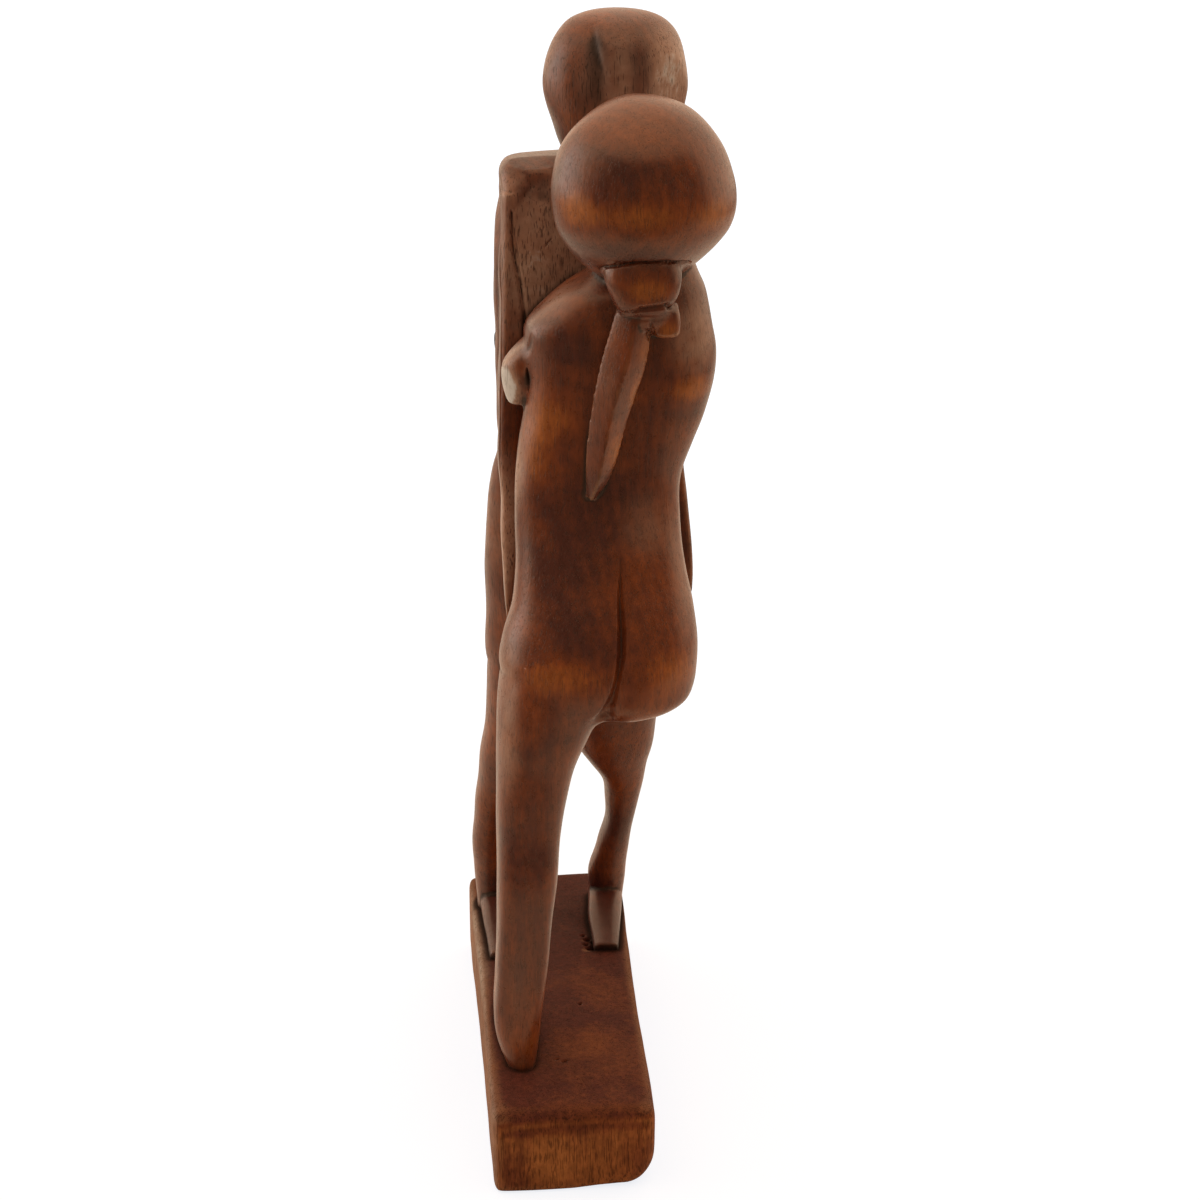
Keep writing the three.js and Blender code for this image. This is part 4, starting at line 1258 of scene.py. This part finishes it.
base.data.materials.append(stained(
    "end_grain_wood",
    gloss=0.08,
    amber=(0.33, 0.118, 0.036, 1),
    heart=(0.215, 0.062, 0.02, 1),
    haze=(0.36, 0.262, 0.2, 1),
    rubbing=0.55,
    rings=0.05,
    fleck=0.4,
    pores=0.8,
))
woman.data.materials.append(stained("smooth_wood", gloss=0.62, rubbing=0.22, pores=0.6))
man.data.materials.append(stained("rubbed_wood", gloss=0.5, rubbing=0.24, haze=(0.46, 0.28, 0.205, 1)))


# THE TABLE TOP
# A plain white sheet that the carving stands on, running out under the camera and well behind.
# It is dimmer in front and in two bands at the sides, which keeps its light off the edges.
SHEET_SIDE = 3
SHEET_FRONT = -0.95
SHEET_BACK = 4
sheet_corners = [(x, y, 0) for x in (-SHEET_SIDE, SHEET_SIDE) for y in (SHEET_FRONT, SHEET_BACK)]
sheet_mesh = bpy.data.meshes.new("white_sheet")
sheet_mesh.from_pydata(sheet_corners, [], [(0, 2, 3, 1)])
sheet = placed("white_sheet", sheet_mesh)
sheet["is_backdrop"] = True
paper = bpy.data.materials.new("white_paper")
paper.use_nodes = True
lit = paper.node_tree
paper_shader = lit.nodes["Principled BSDF"]
on_paper = wired(lit, "ShaderNodeTexCoord").outputs["Object"]
across_and_back = wired(lit, "ShaderNodeSeparateXYZ", {0: on_paper}).outputs
aside = sums(lit, "ABSOLUTE", sums(lit, "SUBTRACT", across_and_back["X"], 0.15))
side_white = sums(lit, "ADD", ramp(lit, aside, 0.6, 0.85, 1.0, 0.3), ramp(lit, aside, 1.2, 1.5, 0.0, 0.7))
front_white = ramp(lit, across_and_back["Y"], -0.5, -0.3, 0.14, 0.85)
paper_white = sums(lit, "MULTIPLY", front_white, side_white)
lit.links.new(grey(lit, paper_white), paper_shader.inputs["Base Color"])
paper_shader.inputs["Roughness"].default_value = 0.9
from_middle = wired(lit, "ShaderNodeVectorMath", {0: on_paper}, operation="LENGTH").outputs["Value"]
glowing_white = ramp(lit, from_middle, 0.25, 0.55, 0.72, 1.0)
seen = sums(lit, "MULTIPLY", wired(lit, "ShaderNodeLightPath").outputs["Is Camera Ray"], glowing_white)
glow = wired(lit, "ShaderNodeEmission", {"Color": (0.97, 1, 1.05, 1), "Strength": 1.15}).outputs[0]
mix = wired(lit, "ShaderNodeMixShader", {0: seen, 1: paper_shader.outputs[0], 2: glow})
lit.links.new(mix.outputs[0], lit.nodes["Material Output"].inputs["Surface"])
sheet_mesh.materials.append(paper)


# THE CAMERA AND THE LIGHTS
# Soft warm daylight from above and from both sides, a whiter window low on the left, and a dark
# room behind the camera, which the satin surface mirrors. What the camera sees directly is white.
camera_data = bpy.data.cameras.new("camera")
camera_data.lens = 80.19
camera_data.sensor_width = 36
camera = placed("camera", camera_data)
camera.location = (-0.058, -0.9485, 0.519)
camera.rotation_euler = (math.radians(71), 0, math.radians(-4.45))
bpy.context.scene.camera = camera
bpy.context.scene.view_settings.view_transform = "Standard"
world = bpy.data.worlds.new("studio")
world.use_nodes = True
sky = world.node_tree
sky_place = wired(sky, "ShaderNodeTexCoord").outputs["Generated"]
looking = wired(sky, "ShaderNodeSeparateXYZ", {0: sky_place}).outputs
room = sums(sky, "MULTIPLY", ramp(sky, looking["Y"], 0.1, -0.4), ramp(sky, looking["Z"], 0.85, 0.55))
brightness = ramp(sky, room, 0.0, 1.0, 1.4, 0.2)
window = sums(sky, "MULTIPLY", ramp(sky, looking["X"], -0.55, -0.85), ramp(sky, looking["Z"], 0.65, 0.4))
window = sums(sky, "MULTIPLY", window, ramp(sky, looking["Y"], -0.1, 0.2))
brightness = plus(sky, brightness, (window, 1.1))
seen_directly = wired(sky, "ShaderNodeLightPath").outputs["Is Camera Ray"]
brightness = sums(sky, "MAXIMUM", brightness, seen_directly)
sky.links.new(brightness, sky.nodes["Background"].inputs["Strength"])
daylight = blended(sky, window, (1, 0.77, 0.56, 1), (1, 0.93, 0.86, 1))
daylight = blended(sky, seen_directly, daylight, (1, 1, 1, 1))
sky.links.new(daylight, sky.nodes["Background"].inputs["Color"])
bpy.context.scene.world = world

low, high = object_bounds()
